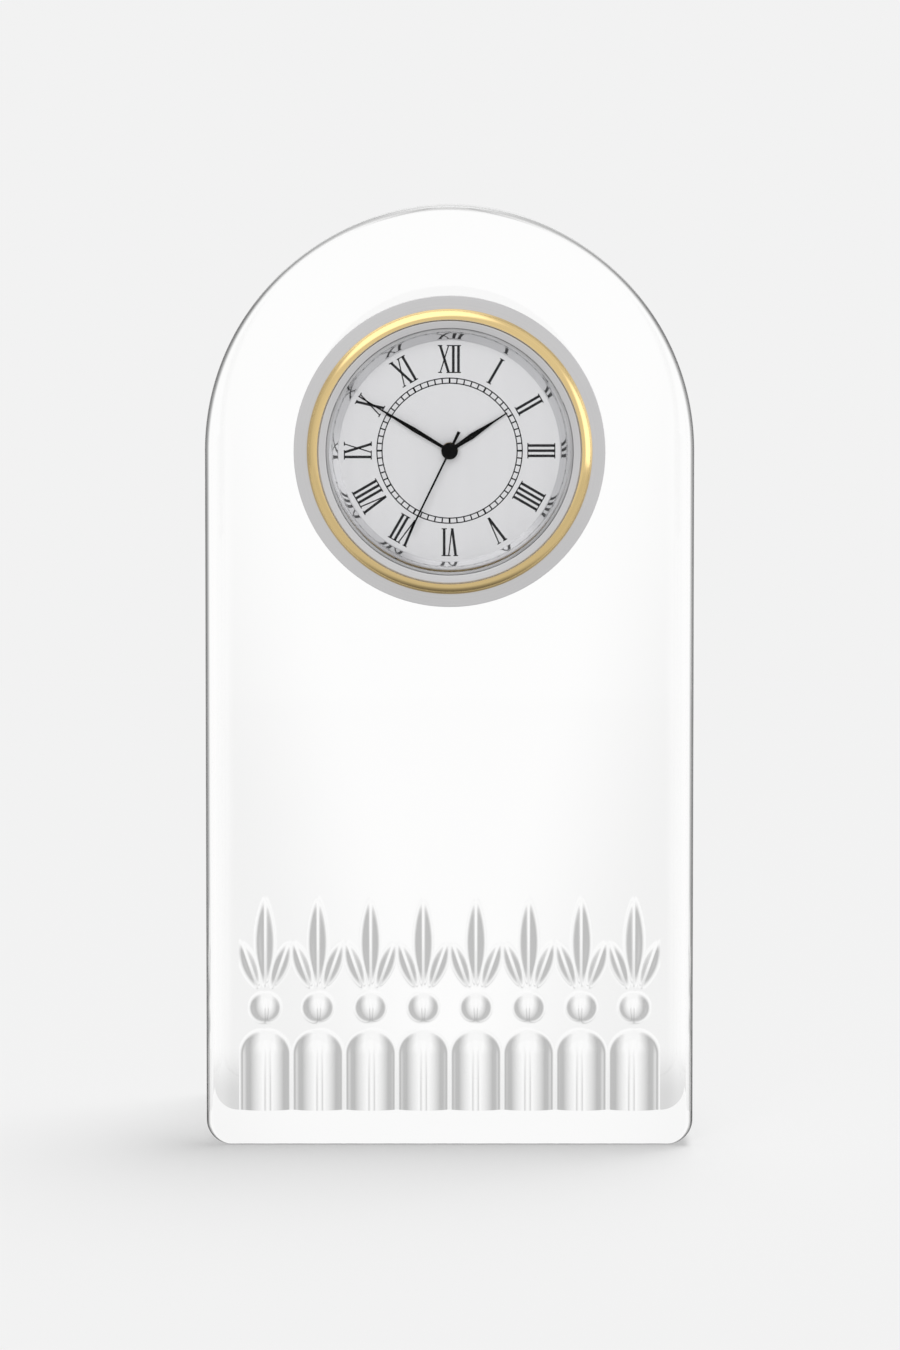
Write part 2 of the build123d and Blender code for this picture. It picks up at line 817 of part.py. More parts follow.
def slotted_screw(label, height, place, head_radius, head_height, length):
    # A slotted screw that points at the viewer, its head's front at the given height
    with BuildPart() as piece:
        with BuildSketch(level(height, place)):
            Circle(head_radius)
        extrude(amount=-head_height)
        with BuildSketch(level(height, place)):
            Circle(screw_shank_radius)
        extrude(amount=length)
        with BuildSketch(level(height - head_height, place)):
            Rectangle(2 * head_radius + 1, slot_width)
        extrude(amount=min(slot_depth, 0.6 * head_height), mode=Mode.SUBTRACT)
    piece.part.label = label
    return piece


bridge_screws = []
for index, angle in enumerate(pillar_angles):
    place = polar(pillar_ring, angle)
    name = "bridge_screw_" + str(index + 1)
    seat = bridge_back + screw_head_depth
    screw = slotted_screw(name, seat, place, pillar_radius, screw_head_depth, bridge_screw_length)
    bridge_screws.append(screw)

# Circuit board on the bridge, with the parts it carries
board_radius = boss_ring - boss_radius - board_gap
with BuildPart() as circuit_board:
    with BuildSketch(level(board_back)):
        Circle(board_radius)
        with Locations(setting_axis):
            Circle(setting_hole + 0.6, mode=Mode.SUBTRACT)
    extrude(amount=board_thickness)
circuit_board.part.label = "circuit_board"

chip_place = polar(0.66 * board_radius, 222.0)
with BuildPart() as chip:
    with BuildSketch(level(board_back, chip_place)):
        RectangleRounded(chip_size, chip_size, 0.3)
    extrude(amount=-chip_height)
chip.part.label = "chip"

can_place = polar(0.72 * board_radius, 318.0)
can_plane = Plane(
    origin=(can_place[0], front_y - board_back + can_radius, dial_height + can_place[1]),
    x_dir=(0, 1, 0),
    z_dir=(sin(radians(40)), 0, cos(radians(40))),
)
with BuildPart() as quartz_can:
    with BuildSketch(can_plane):
        Circle(can_radius)
    extrude(amount=can_length / 2, both=True)
    fillet(quartz_can.edges().filter_by(GeomType.CIRCLE), radius=0.2)
quartz_can.part.label = "quartz_can"

# Contacts, button cell and battery cap
# The negative leaf stands on the board and rises to the cell's middle
leaf_start = -leaf_foot - leaf_ramp / 2
leaf_gap = contact_space - contact_gap
leaf_plane = Plane(
    origin=(0, front_y - board_back, dial_height + cell_axis[1]), x_dir=(1, 0, 0), z_dir=(0, 0, -1)
)
with BuildPart() as contact_negative:
    with BuildSketch(leaf_plane):
        with BuildLine():
            Polyline(
                (leaf_start, 0),
                (-leaf_ramp / 2, 0),
                (leaf_ramp / 2, contact_thickness - leaf_gap),
                (leaf_ramp / 2 + leaf_tip, contact_thickness - leaf_gap),
                (leaf_ramp / 2 + leaf_tip, -leaf_gap),
                (leaf_ramp / 2, -leaf_gap),
                (-leaf_ramp / 2, -contact_thickness),
                (leaf_start, -contact_thickness),
                close=True,
            )
        make_face()
    extrude(amount=leaf_width / 2, both=True)
contact_negative.part.label = "contact_negative"

contact_reach = 0.55 * cell_height
with BuildPart() as contact_positive:
    with BuildSketch(level(board_back, cell_axis)):
        with Locations((cell_radius + contact_gap + contact_thickness / 2, 0)):
            Rectangle(contact_thickness, contact_width)
    extrude(amount=-contact_reach)
contact_positive.part.label = "contact_positive"

with BuildPart() as button_cell:
    with BuildSketch(level(cell_back, cell_axis)):
        Circle(cell_radius)
    extrude(amount=cell_height - cell_step)
    with BuildSketch(level(cell_front - cell_step, cell_axis)):
        Circle(cell_radius - cell_shoulder)
    extrude(amount=cell_step)
    fillet(button_cell.edges().filter_by(GeomType.CIRCLE).sort_by(Axis.Y)[-1], radius=0.25)
button_cell.part.label = "button_cell"

with BuildPart() as battery_cap:
    with BuildSketch(level(cover_back, cell_axis)):
        Circle(cap_radius)
    extrude(amount=cell_back - cover_back)
    with BuildSketch(level(cell_back, cell_axis)):
        Circle(cap_radius)
        Circle(cap_radius - cap_skirt, mode=Mode.SUBTRACT)
    extrude(amount=cap_skirt_depth)
    with BuildSketch(level(cover_back, cell_axis)):
        SlotOverall(cap_slot_length, cap_slot_width)
    extrude(amount=cap_slot_depth, mode=Mode.SUBTRACT)
battery_cap.part.label = "battery_cap"

# Back cover with the well that guides the cell
with BuildPart() as back_cover:
    with BuildSketch(level(cover_back)):
        Circle(case_inner - slip)
        with PolarLocations(boss_ring, boss_count, start_angle=30):
            Circle(screw_shank_radius + slip, mode=Mode.SUBTRACT)
        with Locations(setting_axis):
            Circle(setting_hole + run_clearance, mode=Mode.SUBTRACT)
    extrude(amount=cover_thickness)
    with BuildSketch(level(cover_back, cell_axis)):
        Circle(well_radius + well_wall)
    extrude(amount=board_back - board_gap - cover_back)
    with BuildSketch(level(cover_back, cell_axis)):
        Circle(well_radius)
    extrude(amount=board_back - cover_back, mode=Mode.SUBTRACT)
back_cover.part.label = "back_cover"

cover_screws = []
for index in range(boss_count):
    place = polar(boss_ring, 30 + index * 360 / boss_count)
    name = "cover_screw_" + str(index + 1)
    screw = slotted_screw(name, cover_back, place, screw_head_radius, screw_head_height, screw_length)
    cover_screws.append(screw)

os.makedirs("parts", exist_ok=True)
pieces = [
    crystal_block, flange_ring, gold_bezel, lens, lens_gasket, reflector_ring, dial,
    hour_hand, minute_hand, second_hand, case_tube, grip_band, main_plate, centre_bush,
    cannon_pinion, centre_wheel, hour_wheel, minute_wheel, setting_knob, third_wheel,
    second_wheel, fifth_wheel, rotor_pinion, rotor_magnet, stator, coil_core, coil_winding,
    train_bridge, circuit_board, chip, quartz_can, contact_negative, contact_positive,
    button_cell, battery_cap, back_cover,
]
for piece in pieces + bridge_screws + cover_screws:
    export_step(piece.part, "parts/" + piece.part.label + ".step")
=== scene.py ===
"""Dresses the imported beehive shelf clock: cut crystal, turned bezel, printed dial and a small stage."""

import math

import bmesh
import bpy
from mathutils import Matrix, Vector


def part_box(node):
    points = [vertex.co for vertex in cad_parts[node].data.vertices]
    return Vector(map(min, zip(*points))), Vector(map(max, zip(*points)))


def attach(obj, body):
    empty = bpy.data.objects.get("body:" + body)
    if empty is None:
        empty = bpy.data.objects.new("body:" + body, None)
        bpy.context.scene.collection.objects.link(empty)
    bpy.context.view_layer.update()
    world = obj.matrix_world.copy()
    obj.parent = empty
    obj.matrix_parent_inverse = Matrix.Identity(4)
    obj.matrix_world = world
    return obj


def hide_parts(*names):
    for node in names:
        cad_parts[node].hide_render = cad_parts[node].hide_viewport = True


bl_info = {
    "name": "Beehive Shelf Clock",
    "version": (1, 0, 0),
    "blender": (4, 5, 0),
    "location": "View3D > Sidebar > Clock",
    "description": "Builds the crystal, bezel, dial, case and stage of a shelf clock around its CAD frame",
    "category": "Object",
}

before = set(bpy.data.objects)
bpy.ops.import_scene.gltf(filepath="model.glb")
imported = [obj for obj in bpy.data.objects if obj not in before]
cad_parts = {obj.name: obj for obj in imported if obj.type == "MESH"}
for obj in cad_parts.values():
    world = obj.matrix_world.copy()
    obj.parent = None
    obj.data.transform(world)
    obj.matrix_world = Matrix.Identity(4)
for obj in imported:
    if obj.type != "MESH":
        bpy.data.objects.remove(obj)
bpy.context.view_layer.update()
MM = 0.001

BLOCK_LOW, BLOCK_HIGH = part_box("crystal_block")
DIAL_LOW, DIAL_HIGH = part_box("dial")
FRONT_Y = BLOCK_LOW.y
BACK_Y = BLOCK_HIGH.y
DIAL_Z = (DIAL_LOW.z + DIAL_HIGH.z) / 2
DIAL_FACE_Y = DIAL_LOW.y

# Ring sections in millimetres: radius, and height in front of the glass
FLANGE = ((17.66, -2.4), (18.12, -2.4), (18.12, 0.0), (22.25, 0.0), (22.25, 0.86), (22.21, 0.9),
          (18.72, 0.9), (18.72, 2.0), (18.58, 2.0), (17.66, 1.88))
REFLECTOR = ((15.8, -1.3), (17.3, 0.6), (17.6, 0.6), (17.6, -0.6), (17.0, -0.6), (17.0, -1.3))
GASKET = ((17.26, 0.6), (17.63, 0.6), (17.63, 1.52), (17.26, 1.8))
GOLD_FOOT = ((18.9, 0.9), (20.38, 0.9))
GOLD_MIDDLE, GOLD_LOW, GOLD_SWELL = 18.86, 0.557, 1.614
GOLD_START, GOLD_TURN, GOLD_STEPS = 19.7, 68.9, 24

# Studio behind the glass: how much each way of leaning counts, and the grey at each lean
LEAN_WEIGHTS = (1.8, 0.35, 0.9)
PANEL = ((0.215, 1.0), (0.36, 0.80), (0.58, 0.50), (0.76, 0.50), (1.0, 0.78))

# Studio in the metal: a direction, how near it the glow begins and is full, and its strength at each
GLOWS = (
    ((0.33, -0.75, 0.45), -0.8, 0.8, 0.5, 0.84),
    ((-0.28, -0.35, 0.90), 0.76, 0.90, 0.0, 0.9),
    ((0.93, -0.36, -0.06), 0.82, 0.93, 0.0, 0.9),
    ((0.0, 1.0, 0.0), 0.4, 0.9, 0.0, 0.4),
)

# Light of the world on matt surfaces, and the lamps: place, target, size and power
EVEN_LIGHT = 0.42
KEY_LAMP = ((0.21, 0.36, 1.0), (0.0, 0.0, 0.03), 0.5, 11.7)
FILL_LAMP = ((-0.15, -1.0, 0.5), (0.0, 0.0, 0.08), 0.8, 6.0)

# Greys low at the sides of the paper sweep: where in a direction each one eases in and out
SWEEP_LEAN = 0.277
WING_RISE, WING_CUT, WING_GREY = (0.0505, 0.085), (0.0435, 0.0465), 0.092
FOOT_RISE, FOOT_INNER, FOOT_OUTER, FOOT_GREY = (0.179, 0.189), (0.026, 0.036), (0.05, 0.06), 0.21

# Painted shade on the crystal's front rim: how far the rim faces aside or upward as the painted grey eases
# off, and where the painted grey ends
RIM_ASIDE, RIM_UPWARD, RIM_END, RIM_PAINTED_SHADE = (0.55, 0.97), (0.2, 0.65), 1.2, 0.955

# Floor: its grey, size and place under the base, its shadow, and the painted shade it shows in metal, dim
# near the clock and whitening outward
FLOOR_GREY, FLOOR_HALF, FLOOR_LOW = 0.64, 0.6, -0.00005
SHADOW_SHARE, SHADOW_REACH = 0.62, 0.012
FLOOR_PAINTED_SHADE_IN_METAL = (0.03, 0.13, 0.2, 0.7)

# Crystal: cells across each cut, how far a base face may tilt, and the index of the base,
# which hands light on to what it stands on
CELLS = 36
BASE_DOWN, BASE_AHEAD = -0.05, 0.1
BASE_IOR = 1.0002

# Camera: its sensor, its place beside the middle, and the photograph's base line and height in pixels
SENSOR, CAMERA_ASIDE = 36.0, 0.00006
BASE_LINE, PHOTO_HEIGHT = 1144.4, 1350.0


def length_of(name, description, default):
    return bpy.props.FloatProperty(name=name, description=description, default=default, unit="LENGTH")


def colour_of(name, description, default):
    return bpy.props.FloatVectorProperty(
        name=name, description=description, default=default, subtype="COLOR"
    )


class CrystalSettings(bpy.types.PropertyGroup):
    """Sizes and glass of the crystal block"""

    rounding: length_of("Front Rounding", "Radius on the front rim", 0.001)
    base_rounding: length_of("Base Rounding", "Height of the rounding along the front base edge", 0.00015)
    corner: length_of("Base Corner", "Radius of the two lower corners", 0.0035)
    bore: length_of("Bore Radius", "Radius of the hole for the insert", 0.01825)
    cuts: bpy.props.IntProperty(name="Cuts", description="Number of flutes, printies and fans", default=8)
    margin: length_of("Band Margin", "Plain glass left at each side of the band", 0.0036)
    softness: length_of("Softness", "Rounding that polishing leaves on the cuts", 0.0002)
    flute_flat: length_of("Flute Flat", "Flat left between two flutes", 0.0007)
    flute_depth: length_of("Flute Depth", "Depth of a flute", 0.00135)
    flute_height: length_of("Flute Height", "Top of the flutes above the base", 0.0120)
    printy_gap: length_of("Printy Gap", "Flat between the flutes and the printies", 0.0012)
    printy_size: length_of("Printy Diameter", "Diameter of a printy", 0.0044)
    printy_depth: length_of("Printy Depth", "Depth of a printy", 0.0008)
    fan_angle: bpy.props.FloatProperty(
        name="Fan Angle",
        description="Lean of a fan's side splits",
        default=math.radians(20),
        subtype="ANGLE",
    )
    fan_start: length_of("Fan Start", "From a printy's middle to the feet of its splits", 0.0030)
    long_length: length_of("Long Split", "Length of a fan's upright split", 0.0136)
    long_width: length_of("Long Width", "Width of a fan's upright split", 0.0026)
    side_length: length_of("Side Split", "Length of a fan's side splits", 0.0076)
    side_width: length_of("Side Width", "Width of a fan's side splits", 0.0021)
    split_slope: bpy.props.FloatProperty(
        name="Split Slope", description="Depth of a split over its half width", default=0.66
    )
    tint: colour_of("Glass Tint", "Colour of the crystal", (0.99, 0.99, 0.988))
    ior: bpy.props.FloatProperty(name="Refraction", description="Refractive index", default=1.53)


class BezelSettings(bpy.types.PropertyGroup):
    """Finishes of the flange, bezel and reflector"""

    silver: colour_of("Silver", "Colour of the flange", (0.70, 0.695, 0.70))
    gold: colour_of("Gold", "Colour of the bezel", (0.85, 0.64, 0.305))
    reflector: colour_of("Reflector", "Colour of the polished cone", (0.78, 0.78, 0.79))
    steps: bpy.props.IntProperty(name="Turning Steps", description="Facets round a turned ring", default=192)


class DialSettings(bpy.types.PropertyGroup):
    """Print on the dial"""

    face: colour_of("Face", "Colour of the dial", (0.82, 0.82, 0.835))
    ink: colour_of("Ink", "Colour of the print", (0.018, 0.018, 0.02))
    numeral_foot: length_of("Numeral Foot", "Radius at the feet of the numerals", 0.01113)
    numeral_height: length_of("Numeral Height", "Height of the numerals", 0.00400)
    track_inner: length_of("Track Inner", "Radius of the track's inner line", 0.00967)
    track_outer: length_of("Track Outer", "Radius of the track's outer line", 0.01040)
    line: length_of("Track Line", "Width of the track's lines", 0.00016)
    ink_height: length_of("Ink Height", "Thickness of the print", 0.000012)


class StageSettings(bpy.types.PropertyGroup):
    """Camera, lamps and backdrop"""

    distance: length_of("Camera Distance", "From the block's front face", 0.70)
    eye: length_of("Eye Height", "Height of the camera above the base", 0.142)
    tilt: bpy.props.FloatProperty(
        name="Tilt", description="How far the camera looks down", default=math.radians(3.3), unit="ROTATION"
    )
    focus: bpy.props.FloatProperty(
        name="Focal Length", description="In millimetres, for a frame 36 high", default=130.92
    )
    backdrop: bpy.props.FloatProperty(name="Backdrop", description="Brightness on camera", default=0.888)


def settings():
    return bpy.context.scene.shelf_clock


class ClockSettings(bpy.types.PropertyGroup):
    """All settings of the clock"""

    crystal: bpy.props.PointerProperty(type=CrystalSettings)
    bezel: bpy.props.PointerProperty(type=BezelSettings)
    dial: bpy.props.PointerProperty(type=DialSettings)
    stage: bpy.props.PointerProperty(type=StageSettings)


# Small helpers for meshes and node trees


def new_piece(name, mesh, body, slot, *nodes):
    """Links a mesh as a piece that rides on a body and stands for CAD nodes."""
    piece = bpy.data.objects.new(name, mesh)
    bpy.context.scene.collection.objects.link(piece)
    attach(piece, body)
    if nodes:
        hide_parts(*nodes)


def mesh_from(name, points, faces, material=None):
    """A mesh from points and faces, with its normals turned outward."""
    mesh = bpy.data.meshes.new(name)
    mesh.from_pydata(points, [], faces)
    form = bmesh.new()
    form.from_mesh(mesh)
    bmesh.ops.remove_doubles(form, verts=form.verts, dist=1e-9)
    bmesh.ops.recalc_face_normals(form, faces=form.faces)
    form.to_mesh(mesh)
    form.free()
    if material is not None:
        mesh.materials.append(material)
    return mesh


def shade(mesh, angle, flat_area=None):
    """Smooths curved faces, and keeps creases and large flat faces crisp."""
    mesh.shade_smooth()
    mesh.set_sharp_from_angle(angle=math.radians(angle))
    if flat_area is not None:
        for polygon in mesh.polygons:
            if polygon.area > flat_area:
                polygon.use_smooth = False


def rounded(profile, radius, steps=5):
    """A closed profile with each corner cut to an arc of about the given radius."""
    points = []
    count = len(profile)
    most = 0.45
    for index, corner in enumerate(profile):
        corner = Vector(corner)
        before = Vector(profile[index - 1])
        after = Vector(profile[(index + 1) % count])
        reach = min(radius, (before - corner).length * most, (after - corner).length * most)
        start = corner + (before - corner).normalized() * reach
        end = corner + (after - corner).normalized() * reach
        for step in range(steps + 1):
            t = step / steps
            points.append(tuple(start * (1 - t) ** 2 + corner * 2 * t * (1 - t) + end * t ** 2))
    return points


def turned(name, profile, material, steps):
    """Turns a closed profile of (radius, height in front of the glass) about the dial's axis."""
    points = []
    rings = []
    for radius, height in profile:
        if radius < 1e-7:
            rings.append([len(points)] * steps)
            points.append((0.0, FRONT_Y - height, DIAL_Z))
            continue
        ring = []
        for step in range(steps):
            turn = 2 * math.pi * step / steps
            ring.append(len(points))
            points.append((radius * math.cos(turn), FRONT_Y - height, DIAL_Z + radius * math.sin(turn)))
        rings.append(ring)
    faces = []
    count = len(rings)
    for index in range(count):
        here, there = rings[index], rings[(index + 1) % count]
        for step in range(steps):
            following = (step + 1) % steps
            corners = [here[step], here[following], there[following], there[step]]
            unique = list(dict.fromkeys(corners))
            if len(unique) > 2:
                faces.append(unique)
    return mesh_from(name, points, faces, material)


def node(tree, kind, **values):
    """Adds a node and sets its properties and unlinked inputs by name."""
    made = tree.nodes.new(kind)
    for key, value in values.items():
        if key in made.inputs:
            made.inputs[key].default_value = value
        else:
            setattr(made, key, value)
    return made


def finish(name, **sockets):
    """A material with one Principled shader, its constant sockets set directly."""
    material = bpy.data.materials.new(name)
    material.use_nodes = True
    shader = material.node_tree.nodes["Principled BSDF"]
    for key, value in sockets.items():
        label = key.replace("_", " ").title().replace("Ior", "IOR")
        if key == "base_color":
            value = (*value, 1.0)
        shader.inputs[label].default_value = value
    return material, material.node_tree, shader


def grain(tree, scale, detail, stretch=(1.0, 1.0, 1.0)):
    """Noise on the piece's own coordinates, stretched along an axis."""
    coordinates = node(tree, "ShaderNodeTexCoord")
    mapping = node(tree, "ShaderNodeMapping", Scale=stretch)
    noise = node(tree, "ShaderNodeTexNoise", Scale=scale, Detail=detail, Roughness=0.55)
    tree.links.new(coordinates.outputs["Object"], mapping.inputs["Vector"])
    tree.links.new(mapping.outputs["Vector"], noise.inputs["Vector"])
    return noise


def spread(tree, source, low, high):
    """Maps a 0 to 1 value onto a range."""
    mapped = node(tree, "ShaderNodeMapRange")
    mapped.inputs["To Min"].default_value = low
    mapped.inputs["To Max"].default_value = high
    tree.links.new(source, mapped.inputs["Value"])
    return mapped.outputs["Result"]


def tones(tree, source, dark, light):
    """Blends two close colours by a 0 to 1 value."""
    ramp = node(tree, "ShaderNodeValToRGB")
    ramp.color_ramp.elements[0].color = (*dark, 1.0)
    ramp.color_ramp.elements[1].color = (*light, 1.0)
    ramp.color_ramp.elements[0].position = 0.3
    ramp.color_ramp.elements[1].position = 0.7
    tree.links.new(source, ramp.inputs["Fac"])
    return ramp.outputs["Color"]


def grey_ramp(tree, source, stops):
    """Greys along a value, from (position, brightness) stops."""
    ramp = node(tree, "ShaderNodeValToRGB")
    elements = ramp.color_ramp.elements
    while len(elements) < len(stops):
        elements.new(0.5)
    for element, (position, level) in zip(elements, stops):
        element.position = position
        element.color = (level, level, level, 1.0)
    tree.links.new(source, ramp.inputs["Fac"])
    return ramp.outputs["Color"]


def axes(tree, vector):
    """The three parts of a vector."""
    split = node(tree, "ShaderNodeSeparateXYZ")
    tree.links.new(vector, split.inputs["Vector"])
    return split.outputs["X"], split.outputs["Y"], split.outputs["Z"]


def span(tree, *parts):
    """Length of a vector made of up to three sockets."""
    join = node(tree, "ShaderNodeCombineXYZ")
    for slot, part in zip(join.inputs, parts):
        tree.links.new(part, slot)
    reach = node(tree, "ShaderNodeVectorMath", operation="LENGTH")
    tree.links.new(join.outputs["Vector"], reach.inputs[0])
    return reach.outputs["Value"]


def grey_shader(tree, kind, level, strength=None):
    """A shader of one grey, its strength from a socket where one is given."""
    shader = node(tree, kind)
    shader.inputs["Color"].default_value = (level, level, level, 1.0)
    if strength is not None:
        tree.links.new(strength, shader.inputs["Strength"])
    return shader.outputs[0]


def either(tree, factor, first, second):
    """One shader or the other, by a 0 to 1 factor."""
    mix = node(tree, "ShaderNodeMixShader")
    for slot, source in zip(mix.inputs, (factor, first, second)):
        tree.links.new(source, slot)
    return mix.outputs["Shader"]


def off_axis(tree, direction):
    """How far a direction leans from straight back: most sideways, less downward, least upward."""
    x, _, z = axes(tree, direction)
    across, up, down = LEAN_WEIGHTS
    rise = calc(tree, "MULTIPLY", calc(tree, "MAXIMUM", z, 0.0), up)
    drop = calc(tree, "MULTIPLY", calc(tree, "MINIMUM", z, 0.0), down)
    return span(tree, calc(tree, "MULTIPLY", x, across), rise, drop)


def calc(tree, operation, *values):
    """A maths node fed by sockets or numbers."""
    made = node(tree, "ShaderNodeMath", operation=operation)
    for slot, value in zip(made.inputs, values):
        if isinstance(value, (int, float)):
            slot.default_value = value
        else:
            tree.links.new(value, slot)
    return made.outputs["Value"]


def smooth(tree, source, low, high, start=0.0, end=1.0):
    """Eases from start to end as a value goes from low to high."""
    mapped = node(tree, "ShaderNodeMapRange", interpolation_type="SMOOTHSTEP")
    for label, value in (("From Min", low), ("From Max", high), ("To Min", start), ("To Max", end)):
        mapped.inputs[label].default_value = value
    tree.links.new(source, mapped.inputs["Value"])
    return mapped.outputs["Result"]


def glow(tree, direction, toward, low, high, start, end):
    """Brightness that eases up round one direction of the studio."""
    towards = node(tree, "ShaderNodeVectorMath", operation="DOT_PRODUCT")
    towards.inputs[1].default_value = Vector(toward).normalized()
    tree.links.new(direction, towards.inputs[0])
    return smooth(tree, towards.outputs["Value"], low, high, start, end)


def side_sweep(tree, direction):
    """Full white straight back, with a soft grey at both lower sides of the paper sweep."""
    x, _, z = axes(tree, direction)
    side = calc(tree, "ABSOLUTE", x)
    drop = calc(tree, "MULTIPLY", z, -1.0)
    lean = calc(tree, "MULTIPLY_ADD", calc(tree, "MAXIMUM", drop, 0.0), SWEEP_LEAN, side)
    strip = smooth(tree, side, *WING_CUT, WING_GREY, 0.0)
    wing = calc(tree, "MULTIPLY", smooth(tree, lean, *WING_RISE), strip)
    strip = smooth(tree, side, *FOOT_OUTER, FOOT_GREY, 0.0)
    near = calc(tree, "MULTIPLY", smooth(tree, side, *FOOT_INNER), strip)
    foot = calc(tree, "MULTIPLY", smooth(tree, drop, *FOOT_RISE), near)
    return calc(tree, "SUBTRACT", 1.0, calc(tree, "ADD", wing, foot))


def relief(tree, shader, height, strength, distance):
    """Feeds a height into the shader's normal."""
    bump = node(tree, "ShaderNodeBump", Strength=strength, Distance=distance)
    tree.links.new(height, bump.inputs["Height"])
    tree.links.new(bump.outputs["Normal"], shader.inputs["Normal"])


def scaled(colour, factor):
    return tuple(min(1.0, channel * factor) for channel in colour)


def mottle(tree, shader, source, colour, dark, light):
    """Varies the shader's colour a little by a 0 to 1 value."""
    tint = tones(tree, source, scaled(colour, dark), scaled(colour, light))
    tree.links.new(tint, shader.inputs["Base Color"])


def polish(tree, shader, source, low, high):
    """Varies the shader's roughness by a 0 to 1 value."""
    tree.links.new(spread(tree, source, low, high), shader.inputs["Roughness"])


# Finishes


def rim_painted_shade(tree, rim):
    """Painted shade on the rounded front rim, standing in for the dark studio that the rim refracts: most
    where it faces sideways, least at the top of the arch.
    """
    coordinates = node(tree, "ShaderNodeTexCoord")
    _, y, _ = axes(tree, coordinates.outputs["Object"])
    _, ahead, up = axes(tree, coordinates.outputs["Normal"])
    edge = smooth(tree, calc(tree, "ABSOLUTE", ahead), *RIM_ASIDE, 1.0, 0.0)
    front = smooth(tree, y, FRONT_Y + rim, FRONT_Y + RIM_END * rim, 1.0, 0.0)
    upward = squared(tree, calc(tree, "MAXIMUM", up, 0.0))
    depth = smooth(tree, upward, *RIM_UPWARD, RIM_PAINTED_SHADE, 0.0)
    return calc(tree, "SUBTRACT", 1.0, calc(tree, "MULTIPLY", calc(tree, "MULTIPLY", edge, front), depth))


def crystal_glass(name, tint, ior, rim=0.0):
    """Clear polished glass with the faint waviness of hand polishing, and painted shade on its rounded front
    rim where a rim is given.
    """
    material, tree, shader = finish(
        name, base_color=tint, roughness=0.0, ior=ior, transmission_weight=1.0
    )
    wave = grain(tree, 45.0, 1.0)
    clear = tones(tree, wave.outputs["Fac"], scaled(tint, 0.997), scaled(tint, 1.003))
    # Painted shade: the rim's colour is greyed, as by the dark studio the real rim would refract.
    if rim:
        grey = node(tree, "ShaderNodeVectorMath", operation="SCALE")
        tree.links.new(clear, grey.inputs[0])
        tree.links.new(rim_painted_shade(tree, rim), grey.inputs["Scale"])
        clear = grey.outputs["Vector"]
    tree.links.new(clear, shader.inputs["Base Color"])
    relief(tree, shader, wave.outputs["Fac"], 0.1, 0.00008)
    return material


def lathe_metal(name, colour, rough, streak, depth):
    """Metal with fine turning lines about the dial's axis."""
    material, tree, shader = finish(name, base_color=colour, metallic=1.0, roughness=rough)
    coordinates = node(tree, "ShaderNodeTexCoord")
    mapping = node(tree, "ShaderNodeMapping")
    mapping.inputs["Location"].default_value = (0.0, 0.0, -DIAL_Z)
    tree.links.new(coordinates.outputs["Object"], mapping.inputs["Vector"])
    flat = node(tree, "ShaderNodeVectorMath", operation="MULTIPLY")
    flat.inputs[1].default_value = (1.0, 0.0, 1.0)
    tree.links.new(mapping.outputs["Vector"], flat.inputs[0])
    reach = node(tree, "ShaderNodeVectorMath", operation="LENGTH")
    tree.links.new(flat.outputs["Vector"], reach.inputs[0])
    rings = node(tree, "ShaderNodeTexNoise", noise_dimensions="1D", Scale=streak, Detail=4.0)
    tree.links.new(reach.outputs["Value"], rings.inputs["W"])
    cloud = grain(tree, 90.0, 2.0)
    blend = node(tree, "ShaderNodeMix")
    blend.inputs["Factor"].default_value = 0.35
    tree.links.new(rings.outputs["Fac"], blend.inputs["A"])
    tree.links.new(cloud.outputs["Fac"], blend.inputs["B"])
    mixed = blend.outputs["Result"]
    mottle(tree, shader, mixed, colour, 0.95, 1.04)
    polish(tree, shader, mixed, rough * 0.8, rough * 1.25)
    if depth:
        relief(tree, shader, rings.outputs["Fac"], depth, 0.00002)
    return material


def plain_metal(name, colour, rough):
    """Small machined metal with a slightly uneven polish."""
    material, tree, shader = finish(name, base_color=colour, metallic=1.0, roughness=rough)
    cloud = grain(tree, 700.0, 3.0).outputs["Fac"]
    mottle(tree, shader, cloud, colour, 0.9, 1.06)
    polish(tree, shader, cloud, rough * 0.75, rough * 1.3)
    return material


def moulded(name, colour, rough, scale=2600.0, depth=0.15, gloss=0.5):
    """Moulded plastic or rubber with a fine spark-eroded grain."""
    material, tree, shader = finish(name, base_color=colour, roughness=rough, specular_ior_level=gloss)
    fine = grain(tree, scale, 3.0).outputs["Fac"]
    mottle(tree, shader, grain(tree, 160.0, 2.0).outputs["Fac"], colour, 0.88, 1.12)
    polish(tree, shader, fine, rough * 0.85, min(1.0, rough * 1.15))
    relief(tree, shader, fine, depth, 0.00006)
    return material


def satin_dial(name, colour):
    """Silver-white dial with a faint upright satin brushing."""
    material, tree, shader = finish(name, base_color=colour, metallic=0.25, roughness=0.38)
    hairs = grain(tree, 900.0, 3.0, (1.0, 1.0, 0.05)).outputs["Fac"]
    mottle(tree, shader, hairs, colour, 0.985, 1.012)
    polish(tree, shader, hairs, 0.34, 0.42)
    return material


def printed_ink(name, colour):
    """Pad-printed black ink."""
    material, tree, shader = finish(name, base_color=colour, roughness=0.5, specular_ior_level=0.2)
    mottle(tree, shader, grain(tree, 1500.0, 2.0).outputs["Fac"], colour, 0.8, 1.3)
    return material


def dress(material, *names):
    """Gives CAD nodes a finish."""
    for name in names:
        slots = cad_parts[name].data.materials
        slots.clear()
        slots.append(material)


# Geometry Nodes trees for what repeats


